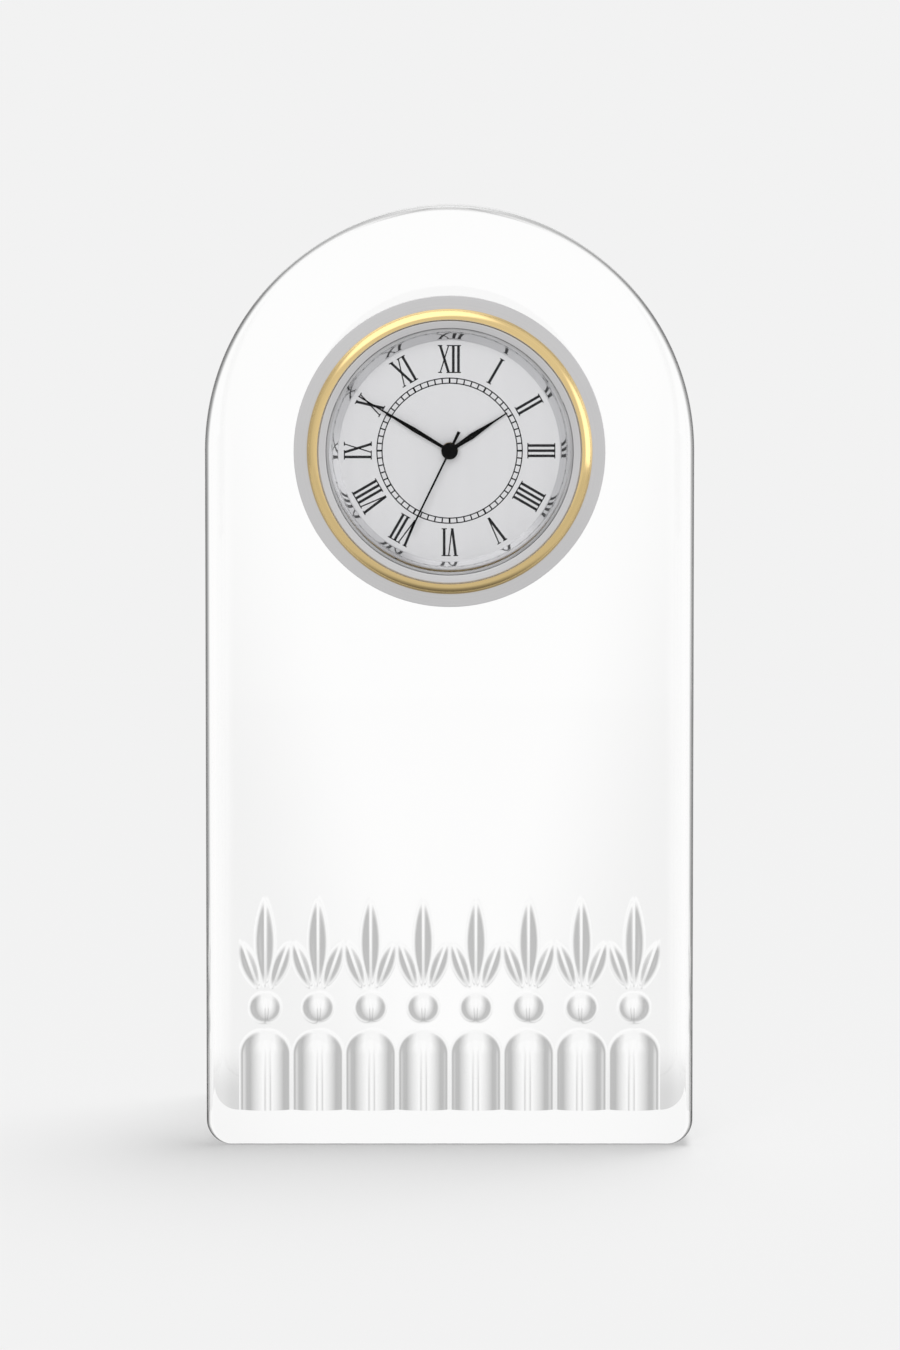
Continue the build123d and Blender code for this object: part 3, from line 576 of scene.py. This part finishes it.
def new_tree(name, inputs, takes_geometry=True):
    """A tree with named inputs and one geometry output."""
    tree = bpy.data.node_groups.new(name, "GeometryNodeTree")
    face = tree.interface
    if takes_geometry:
        face.new_socket(name="Geometry", in_out="INPUT", socket_type="NodeSocketGeometry")
    for label, kind in inputs:
        face.new_socket(name=label, in_out="INPUT", socket_type=kind)
    face.new_socket(name="Geometry", in_out="OUTPUT", socket_type="NodeSocketGeometry")
    return tree, node(tree, "NodeGroupInput"), node(tree, "NodeGroupOutput")


def finish_tree(tree, source, result, geometry):
    """Ends a tree with realised instances and a material."""
    realise = node(tree, "GeometryNodeRealizeInstances")
    paint = node(tree, "GeometryNodeSetMaterial")
    tree.links.new(geometry, realise.inputs["Geometry"])
    tree.links.new(realise.outputs["Geometry"], paint.inputs["Geometry"])
    tree.links.new(source.outputs["Finish"], paint.inputs["Material"])
    tree.links.new(paint.outputs["Geometry"], result.inputs["Geometry"])


def ring_tree():
    """A tree that copies its input mesh round a ring about the Y axis."""
    inputs = (("Count", "NodeSocketInt"), ("Finish", "NodeSocketMaterial"))
    tree, source, result = new_tree("Ring of copies", inputs)
    line = node(tree, "GeometryNodeMeshLine")
    line.inputs["Offset"].default_value = (0.0, 0.0, 0.0)
    tree.links.new(source.outputs["Count"], line.inputs["Count"])
    index = node(tree, "GeometryNodeInputIndex")
    turn = node(tree, "ShaderNodeCombineXYZ")
    share = calc(tree, "DIVIDE", index.outputs["Index"], source.outputs["Count"])
    tree.links.new(calc(tree, "MULTIPLY", share, 2 * math.pi), turn.inputs["Y"])
    place = node(tree, "GeometryNodeInstanceOnPoints")
    tree.links.new(line.outputs["Mesh"], place.inputs["Points"])
    tree.links.new(source.outputs["Geometry"], place.inputs["Instance"])
    tree.links.new(turn.outputs["Vector"], place.inputs["Rotation"])
    finish_tree(tree, source, result, place.outputs["Instances"])
    return tree


def grown(name, mesh, tree, values):
    """Runs a tree on a mesh with its inputs set, and returns the plain result."""
    holder = bpy.data.objects.new(name, mesh)
    bpy.context.scene.collection.objects.link(holder)
    modifier = holder.modifiers.new("Growth", "NODES")
    modifier.node_group = tree
    for item in tree.interface.items_tree:
        if item.in_out == "INPUT" and item.name in values:
            modifier[item.identifier] = values[item.name]
    bpy.context.view_layer.update()
    seen = holder.evaluated_get(bpy.context.evaluated_depsgraph_get())
    result = bpy.data.meshes.new_from_object(seen)
    holder.modifiers.clear()
    bpy.data.objects.remove(holder)
    result.name = name
    return result


def cut_away(piece, *cutters):
    """Subtracts cutter meshes from a piece, one after another."""
    for cutter in cutters:
        tool = bpy.data.objects.new("cutter", cutter)
        bpy.context.scene.collection.objects.link(tool)
        modifier = piece.modifiers.new("Cut", "BOOLEAN")
        modifier.operation = "DIFFERENCE"
        modifier.solver = "EXACT"
        modifier.object = tool
        bpy.context.view_layer.update()
        seen = piece.evaluated_get(bpy.context.evaluated_depsgraph_get())
        result = bpy.data.meshes.new_from_object(seen)
        piece.modifiers.clear()
        piece.data = result
        bpy.data.objects.remove(tool)


# Crystal block


def squared(tree, value):
    return calc(tree, "MULTIPLY", value, value)


def wheel(tree, half, depth):
    """Radius of a cutting wheel that leaves a cut of this half size and depth."""
    total = calc(tree, "ADD", squared(tree, half), squared(tree, depth))
    return calc(tree, "DIVIDE", total, calc(tree, "MULTIPLY", depth, 2.0))


def bowl(tree, half, depth, *offsets):
    """Depth left by a round wheel at some offsets from its middle; below zero outside the cut."""
    radius = wheel(tree, half, depth)
    left = squared(tree, radius)
    for offset in offsets:
        left = calc(tree, "SUBTRACT", left, squared(tree, offset))
    reach = calc(tree, "SQRT", calc(tree, "MAXIMUM", left, 0.0))
    return calc(tree, "SUBTRACT", reach, calc(tree, "SUBTRACT", radius, depth))


def split_cut(tree, reach, depth, slope, soft, along, beside):
    """Depth left by a V-edged wheel: a keel along the cut, less the slope of its walls."""
    keel = bowl(tree, reach, depth, along)
    blunt = calc(tree, "SQRT", calc(tree, "ADD", squared(tree, beside), squared(tree, soft)))
    return calc(tree, "SUBTRACT", keel, calc(tree, "MULTIPLY", blunt, slope))


def eased(tree, cut, soft):
    """A cut's depth with its edge rounded over: none well outside it, all of it well inside."""
    low = calc(tree, "MULTIPLY", soft, -1.0)
    edge = calc(tree, "MINIMUM", calc(tree, "MAXIMUM", cut, low), soft)
    rise = squared(tree, calc(tree, "ADD", edge, soft))
    ease = calc(tree, "DIVIDE", rise, calc(tree, "MULTIPLY", soft, 4.0))
    return calc(tree, "ADD", ease, calc(tree, "MAXIMUM", calc(tree, "SUBTRACT", cut, soft), 0.0))


BAND_SIZES = ("Pitch", "Height", "Softness", "Flute Half", "Flute Depth", "Flute Height",
              "Printy Half", "Printy Depth", "Printy Height", "Fan Angle", "Fan Start",
              "Long Reach", "Long Depth", "Side Reach", "Side Depth", "Split Slope")
BAND_COUNTS = ("Count", "Columns", "Rows")


def band_tree():
    """A tree that sinks the cut band: flutes off the base, a printy on each, and a fan of splits over it."""
    inputs = [(name, "NodeSocketInt") for name in BAND_COUNTS]
    inputs += [(name, "NodeSocketFloat") for name in BAND_SIZES]
    inputs.append(("Finish", "NodeSocketMaterial"))
    tree, source, result = new_tree("Cut band", inputs, False)
    read = source.outputs
    width = calc(tree, "MULTIPLY", read["Count"], read["Pitch"])
    grid = node(tree, "GeometryNodeMeshGrid")
    tree.links.new(width, grid.inputs["Size X"])
    tree.links.new(read["Height"], grid.inputs["Size Y"])
    tree.links.new(read["Columns"], grid.inputs["Vertices X"])
    tree.links.new(read["Rows"], grid.inputs["Vertices Y"])
    position = node(tree, "GeometryNodeInputPosition")
    across, upright, _ = axes(tree, position.outputs["Position"])
    up = calc(tree, "ADD", upright, calc(tree, "MULTIPLY", read["Height"], 0.5))
    start = calc(tree, "ADD", across, calc(tree, "MULTIPLY", width, 0.5))
    run = calc(tree, "WRAP", start, read["Pitch"], 0.0)
    beside = calc(tree, "SUBTRACT", run, calc(tree, "MULTIPLY", read["Pitch"], 0.5))
    head = calc(tree, "SUBTRACT", up, calc(tree, "SUBTRACT", read["Flute Height"], read["Flute Half"]))
    lift = calc(tree, "SUBTRACT", up, read["Printy Height"])
    cut = bowl(tree, read["Flute Half"], read["Flute Depth"], beside, calc(tree, "MAXIMUM", head, 0.0))
    cut = calc(tree, "MAXIMUM", cut, bowl(tree, read["Printy Half"], read["Printy Depth"], beside, lift))
    for side, kind in ((-1, "Side"), (0, "Long"), (1, "Side")):
        lean = calc(tree, "MULTIPLY", read["Fan Angle"], side)
        sine = calc(tree, "SINE", lean)
        cosine = calc(tree, "COSINE", lean)
        along = calc(tree, "ADD", calc(tree, "MULTIPLY", beside, sine), calc(tree, "MULTIPLY", lift, cosine))
        over = calc(tree, "MULTIPLY", lift, sine)
        aside = calc(tree, "SUBTRACT", calc(tree, "MULTIPLY", beside, cosine), over)
        reach, sink = read[kind + " Reach"], read[kind + " Depth"]
        past = calc(tree, "SUBTRACT", along, calc(tree, "ADD", read["Fan Start"], reach))
        split = split_cut(tree, reach, sink, read["Split Slope"], read["Softness"], past, aside)
        cut = calc(tree, "MAXIMUM", cut, split)
    depth = eased(tree, cut, read["Softness"])
    target = node(tree, "ShaderNodeCombineXYZ")
    tree.links.new(across, target.inputs["X"])
    tree.links.new(calc(tree, "SUBTRACT", BACK_Y, depth), target.inputs["Y"])
    tree.links.new(calc(tree, "ADD", up, BLOCK_LOW.z), target.inputs["Z"])
    move = node(tree, "GeometryNodeSetPosition")
    tree.links.new(grid.outputs["Mesh"], move.inputs["Geometry"])
    tree.links.new(target.outputs["Vector"], move.inputs["Position"])
    finish_tree(tree, source, result, move.outputs["Geometry"])
    return tree


def arched_outline(inset, lift, corner, arch_steps=160, corner_steps=16):
    """The outline drawn in by an inset and lifted off the base, from the left along it and over the arch."""
    half = (BLOCK_HIGH.x - BLOCK_LOW.x) / 2
    low = BLOCK_LOW.z
    points = []
    for side in (-1, 1):
        for step in range(corner_steps + 1):
            turn = math.radians(90) * step / corner_steps
            across = math.cos(turn) if side < 0 else math.sin(turn)
            down = math.sin(turn) if side < 0 else math.cos(turn)
            x = side * (half - corner + (corner - inset) * across)
            points.append((x, low + corner - (corner - lift) * down))
    for step in range(arch_steps + 1):
        turn = math.pi * step / arch_steps
        x = (half - inset) * math.cos(turn)
        points.append((x, BLOCK_HIGH.z - half + (half - inset) * math.sin(turn)))
    return points, corner_steps


def block_shell(band, rounding, base_rounding, corner, steps=14):
    """The block around its cut band: rounded front rim, straight walls and a flat back."""
    form = bmesh.new()
    form.from_mesh(band)
    half = max(vertex.co.x for vertex in form.verts)
    top = max(vertex.co.z for vertex in form.verts)
    tiny = 1e-7
    for vertex in form.verts:
        if abs(vertex.co.x) > half - tiny or vertex.co.z > top - tiny:
            vertex.co.y = BACK_Y
    left = sorted((v for v in form.verts if v.co.x < -half + tiny), key=lambda v: v.co.z)
    right = sorted((v for v in form.verts if v.co.x > half - tiny), key=lambda v: v.co.z)
    head = sorted((v for v in form.verts if v.co.z > top - tiny), key=lambda v: v.co.x)
    foot = sorted((v for v in form.verts if v.co.z < BLOCK_LOW.z + tiny), key=lambda v: v.co.x)
    turns = [math.radians(90) * step / steps for step in range(steps + 1)]
    stations = []
    for turn in reversed(turns):
        stations.append((FRONT_Y + rounding * (1 - math.sin(turn)), rounding * (1 - math.cos(turn))))
    stations.append((BACK_Y, 0.0))
    rings = []
    for y, inset in stations:
        outline, corner_steps = arched_outline(inset, inset * base_rounding / rounding, corner)
        rings.append([form.verts.new((x, y, z)) for x, z in outline])
    size = len(rings[0])
    form.faces.new(rings[0])
    for here, there in zip(rings, rings[1:]):
        for column in range(size):
            following = (column + 1) % size
            if there is rings[-1] and column == corner_steps:
                face = [here[column], here[following], there[following]]
                form.faces.new(face + foot[::-1] + [there[column]])
            else:
                form.faces.new([here[column], here[following], there[following], there[column]])
    last = rings[-1]
    notch = left + head[1:-1] + right[::-1]
    form.faces.new(last[:corner_steps + 1] + notch + last[corner_steps + 1:])
    bmesh.ops.recalc_face_normals(form, faces=form.faces)
    mesh = bpy.data.meshes.new("crystal_blank")
    form.to_mesh(mesh)
    form.free()
    return mesh


def bore_tool(radius, steps=256):
    """A plug longer than the block is deep, for the bore."""
    past = 0.004
    points = []
    for y in (FRONT_Y - past, BACK_Y + past):
        for step in range(steps):
            turn = 2 * math.pi * step / steps
            points.append((radius * math.cos(turn), y, DIAL_Z + radius * math.sin(turn)))
    faces = [list(range(steps)), list(range(steps, 2 * steps))]
    for step in range(steps):
        following = (step + 1) % steps
        faces.append([step, following, following + steps, step + steps])
    return mesh_from("bore_tool", points, faces)


class CLOCK_OT_crystal(bpy.types.Operator):
    """Shapes the crystal block and cuts its band"""

    bl_idname = "clock.crystal"
    bl_label = "Crystal Block"

    def execute(self, context):
        own = settings().crystal
        # The cut crystal carries painted shade on its rounded front rim; the base glass carries none.
        glass = crystal_glass("cut_crystal", own.tint, own.ior, own.rounding)
        contact = crystal_glass("crystal_base", own.tint, BASE_IOR)
        pitch = (BLOCK_HIGH.x - BLOCK_LOW.x - 2 * own.margin) / own.cuts
        printy_z = own.flute_height + own.printy_gap + own.printy_size / 2
        height = printy_z + own.fan_start + own.long_length + 3 * own.softness
        values = {
            "Count": own.cuts,
            "Columns": own.cuts * CELLS + 1,
            "Rows": round(height / pitch * CELLS) + 1,
            "Pitch": pitch,
            "Height": height,
            "Softness": own.softness,
            "Flute Half": (pitch - own.flute_flat) / 2,
            "Flute Depth": own.flute_depth,
            "Flute Height": own.flute_height,
            "Printy Half": own.printy_size / 2,
            "Printy Depth": own.printy_depth,
            "Printy Height": printy_z,
            "Fan Angle": own.fan_angle,
            "Fan Start": own.fan_start,
            "Long Reach": own.long_length / 2,
            "Long Depth": own.long_width / 2 * own.split_slope,
            "Side Reach": own.side_length / 2,
            "Side Depth": own.side_width / 2 * own.split_slope,
            "Split Slope": own.split_slope,
            "Finish": glass,
        }
        band = grown("cut_band", bpy.data.meshes.new("cut_band"), band_tree(), values)
        shell = block_shell(band, own.rounding, own.base_rounding, own.corner)
        block = bpy.data.objects.new("crystal", shell)
        context.scene.collection.objects.link(block)
        cut_away(block, bore_tool(own.bore))
        mesh = block.data
        mesh.name = "cut_crystal"
        mesh.materials.clear()
        mesh.materials.append(glass)
        mesh.materials.append(contact)
        for polygon in mesh.polygons:
            faces_down = polygon.normal.z < BASE_DOWN and abs(polygon.normal.y) < BASE_AHEAD
            polygon.material_index = 1 if faces_down and polygon.center.z < own.corner else 0
        shade(mesh, 50, 100 * MM * MM)
        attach(block, "crystal")
        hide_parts("crystal_block")
        return {"FINISHED"}


class CLOCK_OT_bezel(bpy.types.Operator):
    """Turns the flange, gold bezel, gasket, lens and reflector"""

    bl_idname = "clock.bezel"
    bl_label = "Bezel and Lens"

    def execute(self, context):
        own = settings().bezel
        silver = lathe_metal("satin_silver", own.silver, 0.34, 9000.0, 0.12)
        gold = lathe_metal("polished_gold", own.gold, 0.13, 5000.0, 0.0)
        mirror = lathe_metal("polished_reflector", own.reflector, 0.07, 5000.0, 0.0)
        rubber = moulded("gasket_rubber", (0.46, 0.46, 0.465), 0.6)
        gold_section = list(GOLD_FOOT)
        for step in range(GOLD_STEPS + 1):
            turn = math.radians(GOLD_START + GOLD_TURN * step / GOLD_STEPS)
            radius = GOLD_MIDDLE + GOLD_SWELL * math.cos(turn)
            gold_section.append((radius, GOLD_LOW + GOLD_SWELL * math.sin(turn)))
        self.ring("bezel_flange", FLANGE, 0.06, silver, "silver", "flange_ring")
        self.ring("bezel_gold", gold_section, 0.0, gold, "gold", "gold_bezel")
        self.ring("reflector", REFLECTOR, 0.02, mirror, "reflector", "reflector_ring")
        self.ring("gasket", GASKET, 0.08, rubber, "black_rubber", "lens_gasket")
        self.lens()
        return {"FINISHED"}

    def ring(self, name, profile, corner, material, slot, cad_node):
        """One turned ring from a profile in millimetres."""
        if corner:
            profile = rounded(profile, corner)
        profile = [(radius * MM, height * MM) for radius, height in profile]
        mesh = turned(name, profile, material, settings().bezel.steps)
        shade(mesh, 35)
        new_piece(name, mesh, "insert", slot, cad_node)

    def lens(self):
        """The gently domed lens."""
        radius, low, edge, crown, bevel, steps = 17.23, 0.6, 1.5, 0.8, 0.08, 32
        dome = (radius * radius + crown * crown) / (2 * crown)
        profile = [(0.0, low), (radius - bevel, low), (radius, low + bevel), (radius, edge - bevel)]
        for step in range(steps + 1):
            reach = (radius - bevel) * (1 - step / steps)
            profile.append((reach, edge + crown - dome + math.sqrt(dome * dome - reach * reach)))
        profile = [(r * MM, h * MM) for r, h in profile]
        glass, tree, shader = finish(
            "lens_glass", base_color=(0.05, 0.05, 0.05), roughness=0.03, ior=1.5, alpha=0.04
        )
        polish(tree, shader, grain(tree, 220.0, 2.0).outputs["Fac"], 0.01, 0.05)
        mesh = turned("lens_crystal", profile, glass, settings().bezel.steps)
        shade(mesh, 25)
        new_piece("lens_crystal", mesh, "insert", "lens_glass", "lens")


# Dial print


def prism(outline, low_y, high_y, points, faces):
    """Adds a closed flat prism between two depths, from (x, z) corners."""
    base = len(points)
    count = len(outline)
    points += [(x, low_y, z) for x, z in outline] + [(x, high_y, z) for x, z in outline]
    faces.append([base + i for i in range(count)])
    faces.append([base + count + i for i in reversed(range(count))])
    for i in range(count):
        j = (i + 1) % count
        faces.append([base + i, base + count + i, base + count + j, base + j])


# Numerals in millimetres: strokes, letter widths, serif half widths and how far strokes stay inside
THICK, THIN, SERIF = 0.38, 0.18, 0.15
ADVANCE = {"I": 0.74, "V": 1.55, "X": 1.80}
SERIFS = {"I": (0.37, 0.37), "V": (0.34, 0.28), "X": (0.33, 0.28)}
STROKE_INSET = {"V": 0.26, "X": 0.28}
V_FOOT = 0.04
INK_GAP = 0.000002

# Ticks of the minute track: how many, and how wide against the track's line
TICKS = (("minute_ticks", 60, 1.2), ("hour_ticks", 12, 1.6))


def bar(u0, v0, u1, v1, width):
    """An upright or slanted stroke cut off level at its ends."""
    return [(u0 - width / 2, v0), (u0 + width / 2, v0), (u1 + width / 2, v1), (u1 - width / 2, v1)]


def serif(u, v, reach):
    return [(u - reach, v), (u + reach, v), (u + reach, v + SERIF), (u - reach, v + SERIF)]


def glyph(letter, left, height):
    """Strokes of one roman letter, in millimetres from its left edge and foot."""
    wide = ADVANCE[letter]
    middle = left + wide / 2
    top = height - SERIF
    broad, slim = SERIFS[letter]
    if letter == "I":
        return [bar(middle, 0, middle, height, THICK), serif(middle, 0, broad), serif(middle, top, slim)]
    reach = wide / 2 - STROKE_INSET[letter]
    if letter == "V":
        return [
            bar(middle - reach, height, middle, 0, THICK),
            bar(middle + reach, height, middle + V_FOOT, 0, THIN),
            serif(middle - reach, top, broad),
            serif(middle + reach, top, slim),
        ]
    return [
        bar(middle + reach, 0, middle - reach, height, THICK),
        bar(middle - reach, 0, middle + reach, height, THIN),
        serif(middle - reach, 0, slim),
        serif(middle + reach, 0, broad),
        serif(middle - reach, top, broad),
        serif(middle + reach, top, slim),
    ]


NUMERALS = ("XII", "I", "II", "III", "IIII", "V", "VI", "VII", "VIII", "IX", "X", "XI")


class CLOCK_OT_dial(bpy.types.Operator):
    """Finishes the dial and prints its numerals and minute track"""

    bl_idname = "clock.dial"
    bl_label = "Dial"

    def execute(self, context):
        own = settings().dial
        dress(satin_dial("dial_satin", own.face), "dial")
        ink = printed_ink("dial_ink", own.ink)
        low, high = DIAL_FACE_Y - own.ink_height, DIAL_FACE_Y - INK_GAP
        points, faces = [], []
        for hour, word in enumerate(NUMERALS):
            turn = math.radians(30 * hour)
            left = -sum(ADVANCE[letter] for letter in word) / 2
            for letter in word:
                for stroke in glyph(letter, left, own.numeral_height / MM):
                    outline = []
                    for u, v in stroke:
                        u, v = u * MM, v * MM + own.numeral_foot
                        outline.append((u * math.cos(turn) + v * math.sin(turn),
                                        DIAL_Z - u * math.sin(turn) + v * math.cos(turn)))
                    prism(outline, low, high, points, faces)
                left += ADVANCE[letter]
        numerals = mesh_from("dial_numerals", points, faces, ink)
        new_piece("dial_numerals", numerals, "insert", "hand_black")
        self.track(own, ink, low, high)
        return {"FINISHED"}

    def track(self, own, ink, low, high):
        """Two fine circles with a tick for each minute, heavier at the hours."""
        ring = ring_tree()
        parts = []
        for name, count, heft in TICKS:
            points, faces = [], []
            prism(bar(0.0, own.track_inner, 0.0, own.track_outer, own.line * heft), low, high, points, faces)
            tick = mesh_from(name, points, faces)
            parts.append(grown(name, tick, ring, {"Count": count, "Finish": ink}))
        form = bmesh.new()
        for part in parts:
            form.from_mesh(part)
        for vertex in form.verts:
            vertex.co.z += DIAL_Z
        mesh = bpy.data.meshes.new("minute_track")
        form.to_mesh(mesh)
        form.free()
        mesh.materials.append(ink)
        new_piece("minute_ticks", mesh, "insert", "hand_black")
        for name, radius in (("track_inner", own.track_inner), ("track_outer", own.track_outer)):
            profile = [(radius - own.line / 2, FRONT_Y - high), (radius + own.line / 2, FRONT_Y - high),
                       (radius + own.line / 2, FRONT_Y - low), (radius - own.line / 2, FRONT_Y - low)]
            new_piece(name, turned(name, profile, ink, settings().bezel.steps), "insert", "hand_black")


class CLOCK_OT_hands(bpy.types.Operator):
    """Finishes the three hands"""

    bl_idname = "clock.hands"
    bl_label = "Hands"

    def execute(self, context):
        black = moulded("hand_enamel", (0.0012, 0.0012, 0.0014), 0.5, 900.0, 0.02, 0.02)
        dress(black, "hour_hand", "minute_hand", "second_hand")
        return {"FINISHED"}


class CLOCK_OT_case(bpy.types.Operator):
    """Finishes the insert's case, grip band, cover, cap, knob and movement"""

    bl_idname = "clock.case"
    bl_label = "Case and Movement"

    def execute(self, context):
        dress(lathe_metal("case_satin", (0.60, 0.60, 0.61), 0.32, 6000.0, 0.1), "case_tube")
        dress(moulded("band_rubber", (0.035, 0.035, 0.037), 0.62), "grip_band")
        dress(moulded("cover_plastic", (0.03, 0.03, 0.032), 0.5), "back_cover", "battery_cap")
        dress(moulded("knob_plastic", (0.045, 0.045, 0.048), 0.42), "setting_knob")
        dress(moulded("plate_plastic", (0.72, 0.72, 0.69), 0.5), "main_plate", "train_bridge")
        dress(moulded("chip_resin", (0.02, 0.02, 0.02), 0.55), "chip")
        dress(moulded("board_mask", (0.03, 0.17, 0.08), 0.4, 900.0, 0.05), "circuit_board")
        dress(plain_metal("wheel_brass", (0.78, 0.58, 0.27), 0.28), "centre_bush", "cannon_pinion",
              "centre_wheel", "hour_wheel", "minute_wheel", "third_wheel", "second_wheel", "fifth_wheel")
        dress(plain_metal("steel_grey", (0.52, 0.52, 0.53), 0.3), "stator", "coil_core", "rotor_pinion",
              "contact_negative", "contact_positive", "bridge_screw_1", "bridge_screw_2", "bridge_screw_3",
              "cover_screw_1", "cover_screw_2", "cover_screw_3")
        dress(plain_metal("magnet_grey", (0.30, 0.30, 0.32), 0.45), "rotor_magnet")
        dress(plain_metal("coil_copper", (0.72, 0.33, 0.17), 0.35), "coil_winding")
        dress(plain_metal("cell_bright", (0.70, 0.70, 0.69), 0.22), "button_cell", "quartz_can")
        return {"FINISHED"}


class CLOCK_OT_stage(bpy.types.Operator):
    """Sets the floor, lamps, world and camera"""

    bl_idname = "clock.stage"
    bl_label = "Stage"

    def execute(self, context):
        own = settings().stage
        self.floor(own)
        self.world(own)
        self.lamp("key_lamp", *KEY_LAMP)
        self.lamp("fill_lamp", *FILL_LAMP)
        self.camera(own)
        context.scene.view_settings.view_transform = "Standard"
        return {"FINISHED"}

    def floor(self, own):
        """A pale floor that keeps the clock's shadow, gives way to the studio behind glass, and glows in
        metal with painted shade near the clock.
        """
        material = bpy.data.materials.new("stage_floor")
        material.use_nodes = True
        tree = material.node_tree
        tree.nodes.clear()
        output = node(tree, "ShaderNodeOutputMaterial")
        coordinates = node(tree, "ShaderNodeTexCoord")
        x, y, z = axes(tree, coordinates.outputs["Object"])
        beside = calc(tree, "SUBTRACT", calc(tree, "ABSOLUTE", x), BLOCK_HIGH.x)
        away = span(tree, calc(tree, "MAXIMUM", beside, 0.0), calc(tree, "SUBTRACT", y, FRONT_Y))
        fall = calc(tree, "MULTIPLY_ADD", away, 1 / SHADOW_REACH, 1.0)
        lit = calc(tree, "SUBTRACT", 1.0, calc(tree, "DIVIDE", SHADOW_SHARE, fall))
        matte = grey_shader(tree, "ShaderNodeBsdfDiffuse", FLOOR_GREY)
        seen = grey_shader(tree, "ShaderNodeEmission", own.backdrop)
        # Painted shade: in metal the floor glows dim near the clock and whiter outward, standing in for the
        # clock's shade on it.
        strength = smooth(tree, span(tree, x, y, z), *FLOOR_PAINTED_SHADE_IN_METAL)
        mirrored = grey_shader(tree, "ShaderNodeEmission", 1.0, strength)
        clear = node(tree, "ShaderNodeBsdfTransparent")
        path = node(tree, "ShaderNodeLightPath")
        shown = either(tree, lit, matte, seen)
        shown = either(tree, path.outputs["Is Glossy Ray"], shown, mirrored)
        shown = either(tree, path.outputs["Is Transmission Ray"], shown, clear.outputs["BSDF"])
        tree.links.new(shown, output.inputs["Surface"])
        low, high = -FLOOR_HALF, FLOOR_HALF
        corners = [(x, y, FLOOR_LOW) for x, y in ((low, low), (high, low), (high, high), (low, high))]
        mesh = mesh_from("stage_floor", corners, [[0, 1, 2, 3]], material)
        floor = bpy.data.objects.new("stage_floor", mesh)
        bpy.context.scene.collection.objects.link(floor)

    def world(self, own):
        """Soft white studio, greyer at the sides, plain pale for the camera."""
        world = bpy.data.worlds.new("studio")
        bpy.context.scene.world = world
        world.use_nodes = True
        tree = world.node_tree
        tree.nodes.clear()
        output = node(tree, "ShaderNodeOutputWorld")
        coordinates = node(tree, "ShaderNodeTexCoord")
        direction = coordinates.outputs["Generated"]
        sweep = node(tree, "ShaderNodeBackground")
        tree.links.new(grey_ramp(tree, off_axis(tree, direction), PANEL), sweep.inputs["Color"])
        tree.links.new(side_sweep(tree, direction), sweep.inputs["Strength"])
        level = 0.0
        for spot in GLOWS:
            level = calc(tree, "ADD", level, glow(tree, direction, *spot))
        mirrored = grey_shader(tree, "ShaderNodeBackground", 1.0, level)
        even = grey_shader(tree, "ShaderNodeBackground", EVEN_LIGHT)
        seen = grey_shader(tree, "ShaderNodeBackground", own.backdrop)
        path = node(tree, "ShaderNodeLightPath")
        shown = either(tree, path.outputs["Is Glossy Ray"], even, mirrored)
        shown = either(tree, path.outputs["Is Transmission Ray"], shown, sweep.outputs["Background"])
        shown = either(tree, path.outputs["Is Camera Ray"], shown, seen)
        tree.links.new(shown, output.inputs["Surface"])

    def lamp(self, name, place, target, size, power):
        light = bpy.data.lights.new(name, "AREA")
        light.energy = power
        light.size = size
        lamp = bpy.data.objects.new(name, light)
        lamp.location = place
        lamp.rotation_euler = (Vector(target) - Vector(place)).to_track_quat("-Z", "Y").to_euler()
        lamp.visible_glossy = False
        lamp.visible_transmission = False
        bpy.context.scene.collection.objects.link(lamp)

    def camera(self, own):
        """Looks down a little from above the dial, its frame shifted onto the clock."""
        along, down = math.cos(own.tilt), math.sin(own.tilt)
        base_rise = own.distance * down - own.eye * along
        base_depth = own.distance * along + own.eye * down
        base_row = BASE_LINE / PHOTO_HEIGHT - 0.5
        lens = bpy.data.cameras.new("photo_camera")
        lens.sensor_width = SENSOR
        lens.lens = own.focus
        lens.shift_y = base_row + own.focus / SENSOR * base_rise / base_depth
        lens.clip_start = 0.01
        camera = bpy.data.objects.new("photo_camera", lens)
        camera.location = (CAMERA_ASIDE, FRONT_Y - own.distance, own.eye)
        camera.rotation_euler = (math.radians(90) - own.tilt, 0.0, 0.0)
        bpy.context.scene.collection.objects.link(camera)
        bpy.context.scene.camera = camera


class CLOCK_PT_panel(bpy.types.Panel):
    """Lists the steps that build the clock"""

    bl_idname = "CLOCK_PT_panel"
    bl_label = "Shelf Clock"
    bl_space_type = "VIEW_3D"
    bl_region_type = "UI"
    bl_category = "Clock"

    def draw(self, context):
        for step in STEPS:
            self.layout.operator(step.bl_idname)


STEPS = (CLOCK_OT_crystal, CLOCK_OT_bezel, CLOCK_OT_dial, CLOCK_OT_hands, CLOCK_OT_case, CLOCK_OT_stage)
GROUPS = (CrystalSettings, BezelSettings, DialSettings, StageSettings, ClockSettings)


def register():
    for kind in GROUPS + STEPS + (CLOCK_PT_panel,):
        bpy.utils.register_class(kind)
    bpy.types.Scene.shelf_clock = bpy.props.PointerProperty(type=ClockSettings)


def unregister():
    del bpy.types.Scene.shelf_clock
    for kind in reversed(GROUPS + STEPS + (CLOCK_PT_panel,)):
        bpy.utils.unregister_class(kind)


def main():
    register()
    bpy.ops.clock.crystal()
    bpy.ops.clock.bezel()
    bpy.ops.clock.dial()
    bpy.ops.clock.hands()
    bpy.ops.clock.case()
    bpy.ops.clock.stage()


if __name__ == "__main__":
    main()
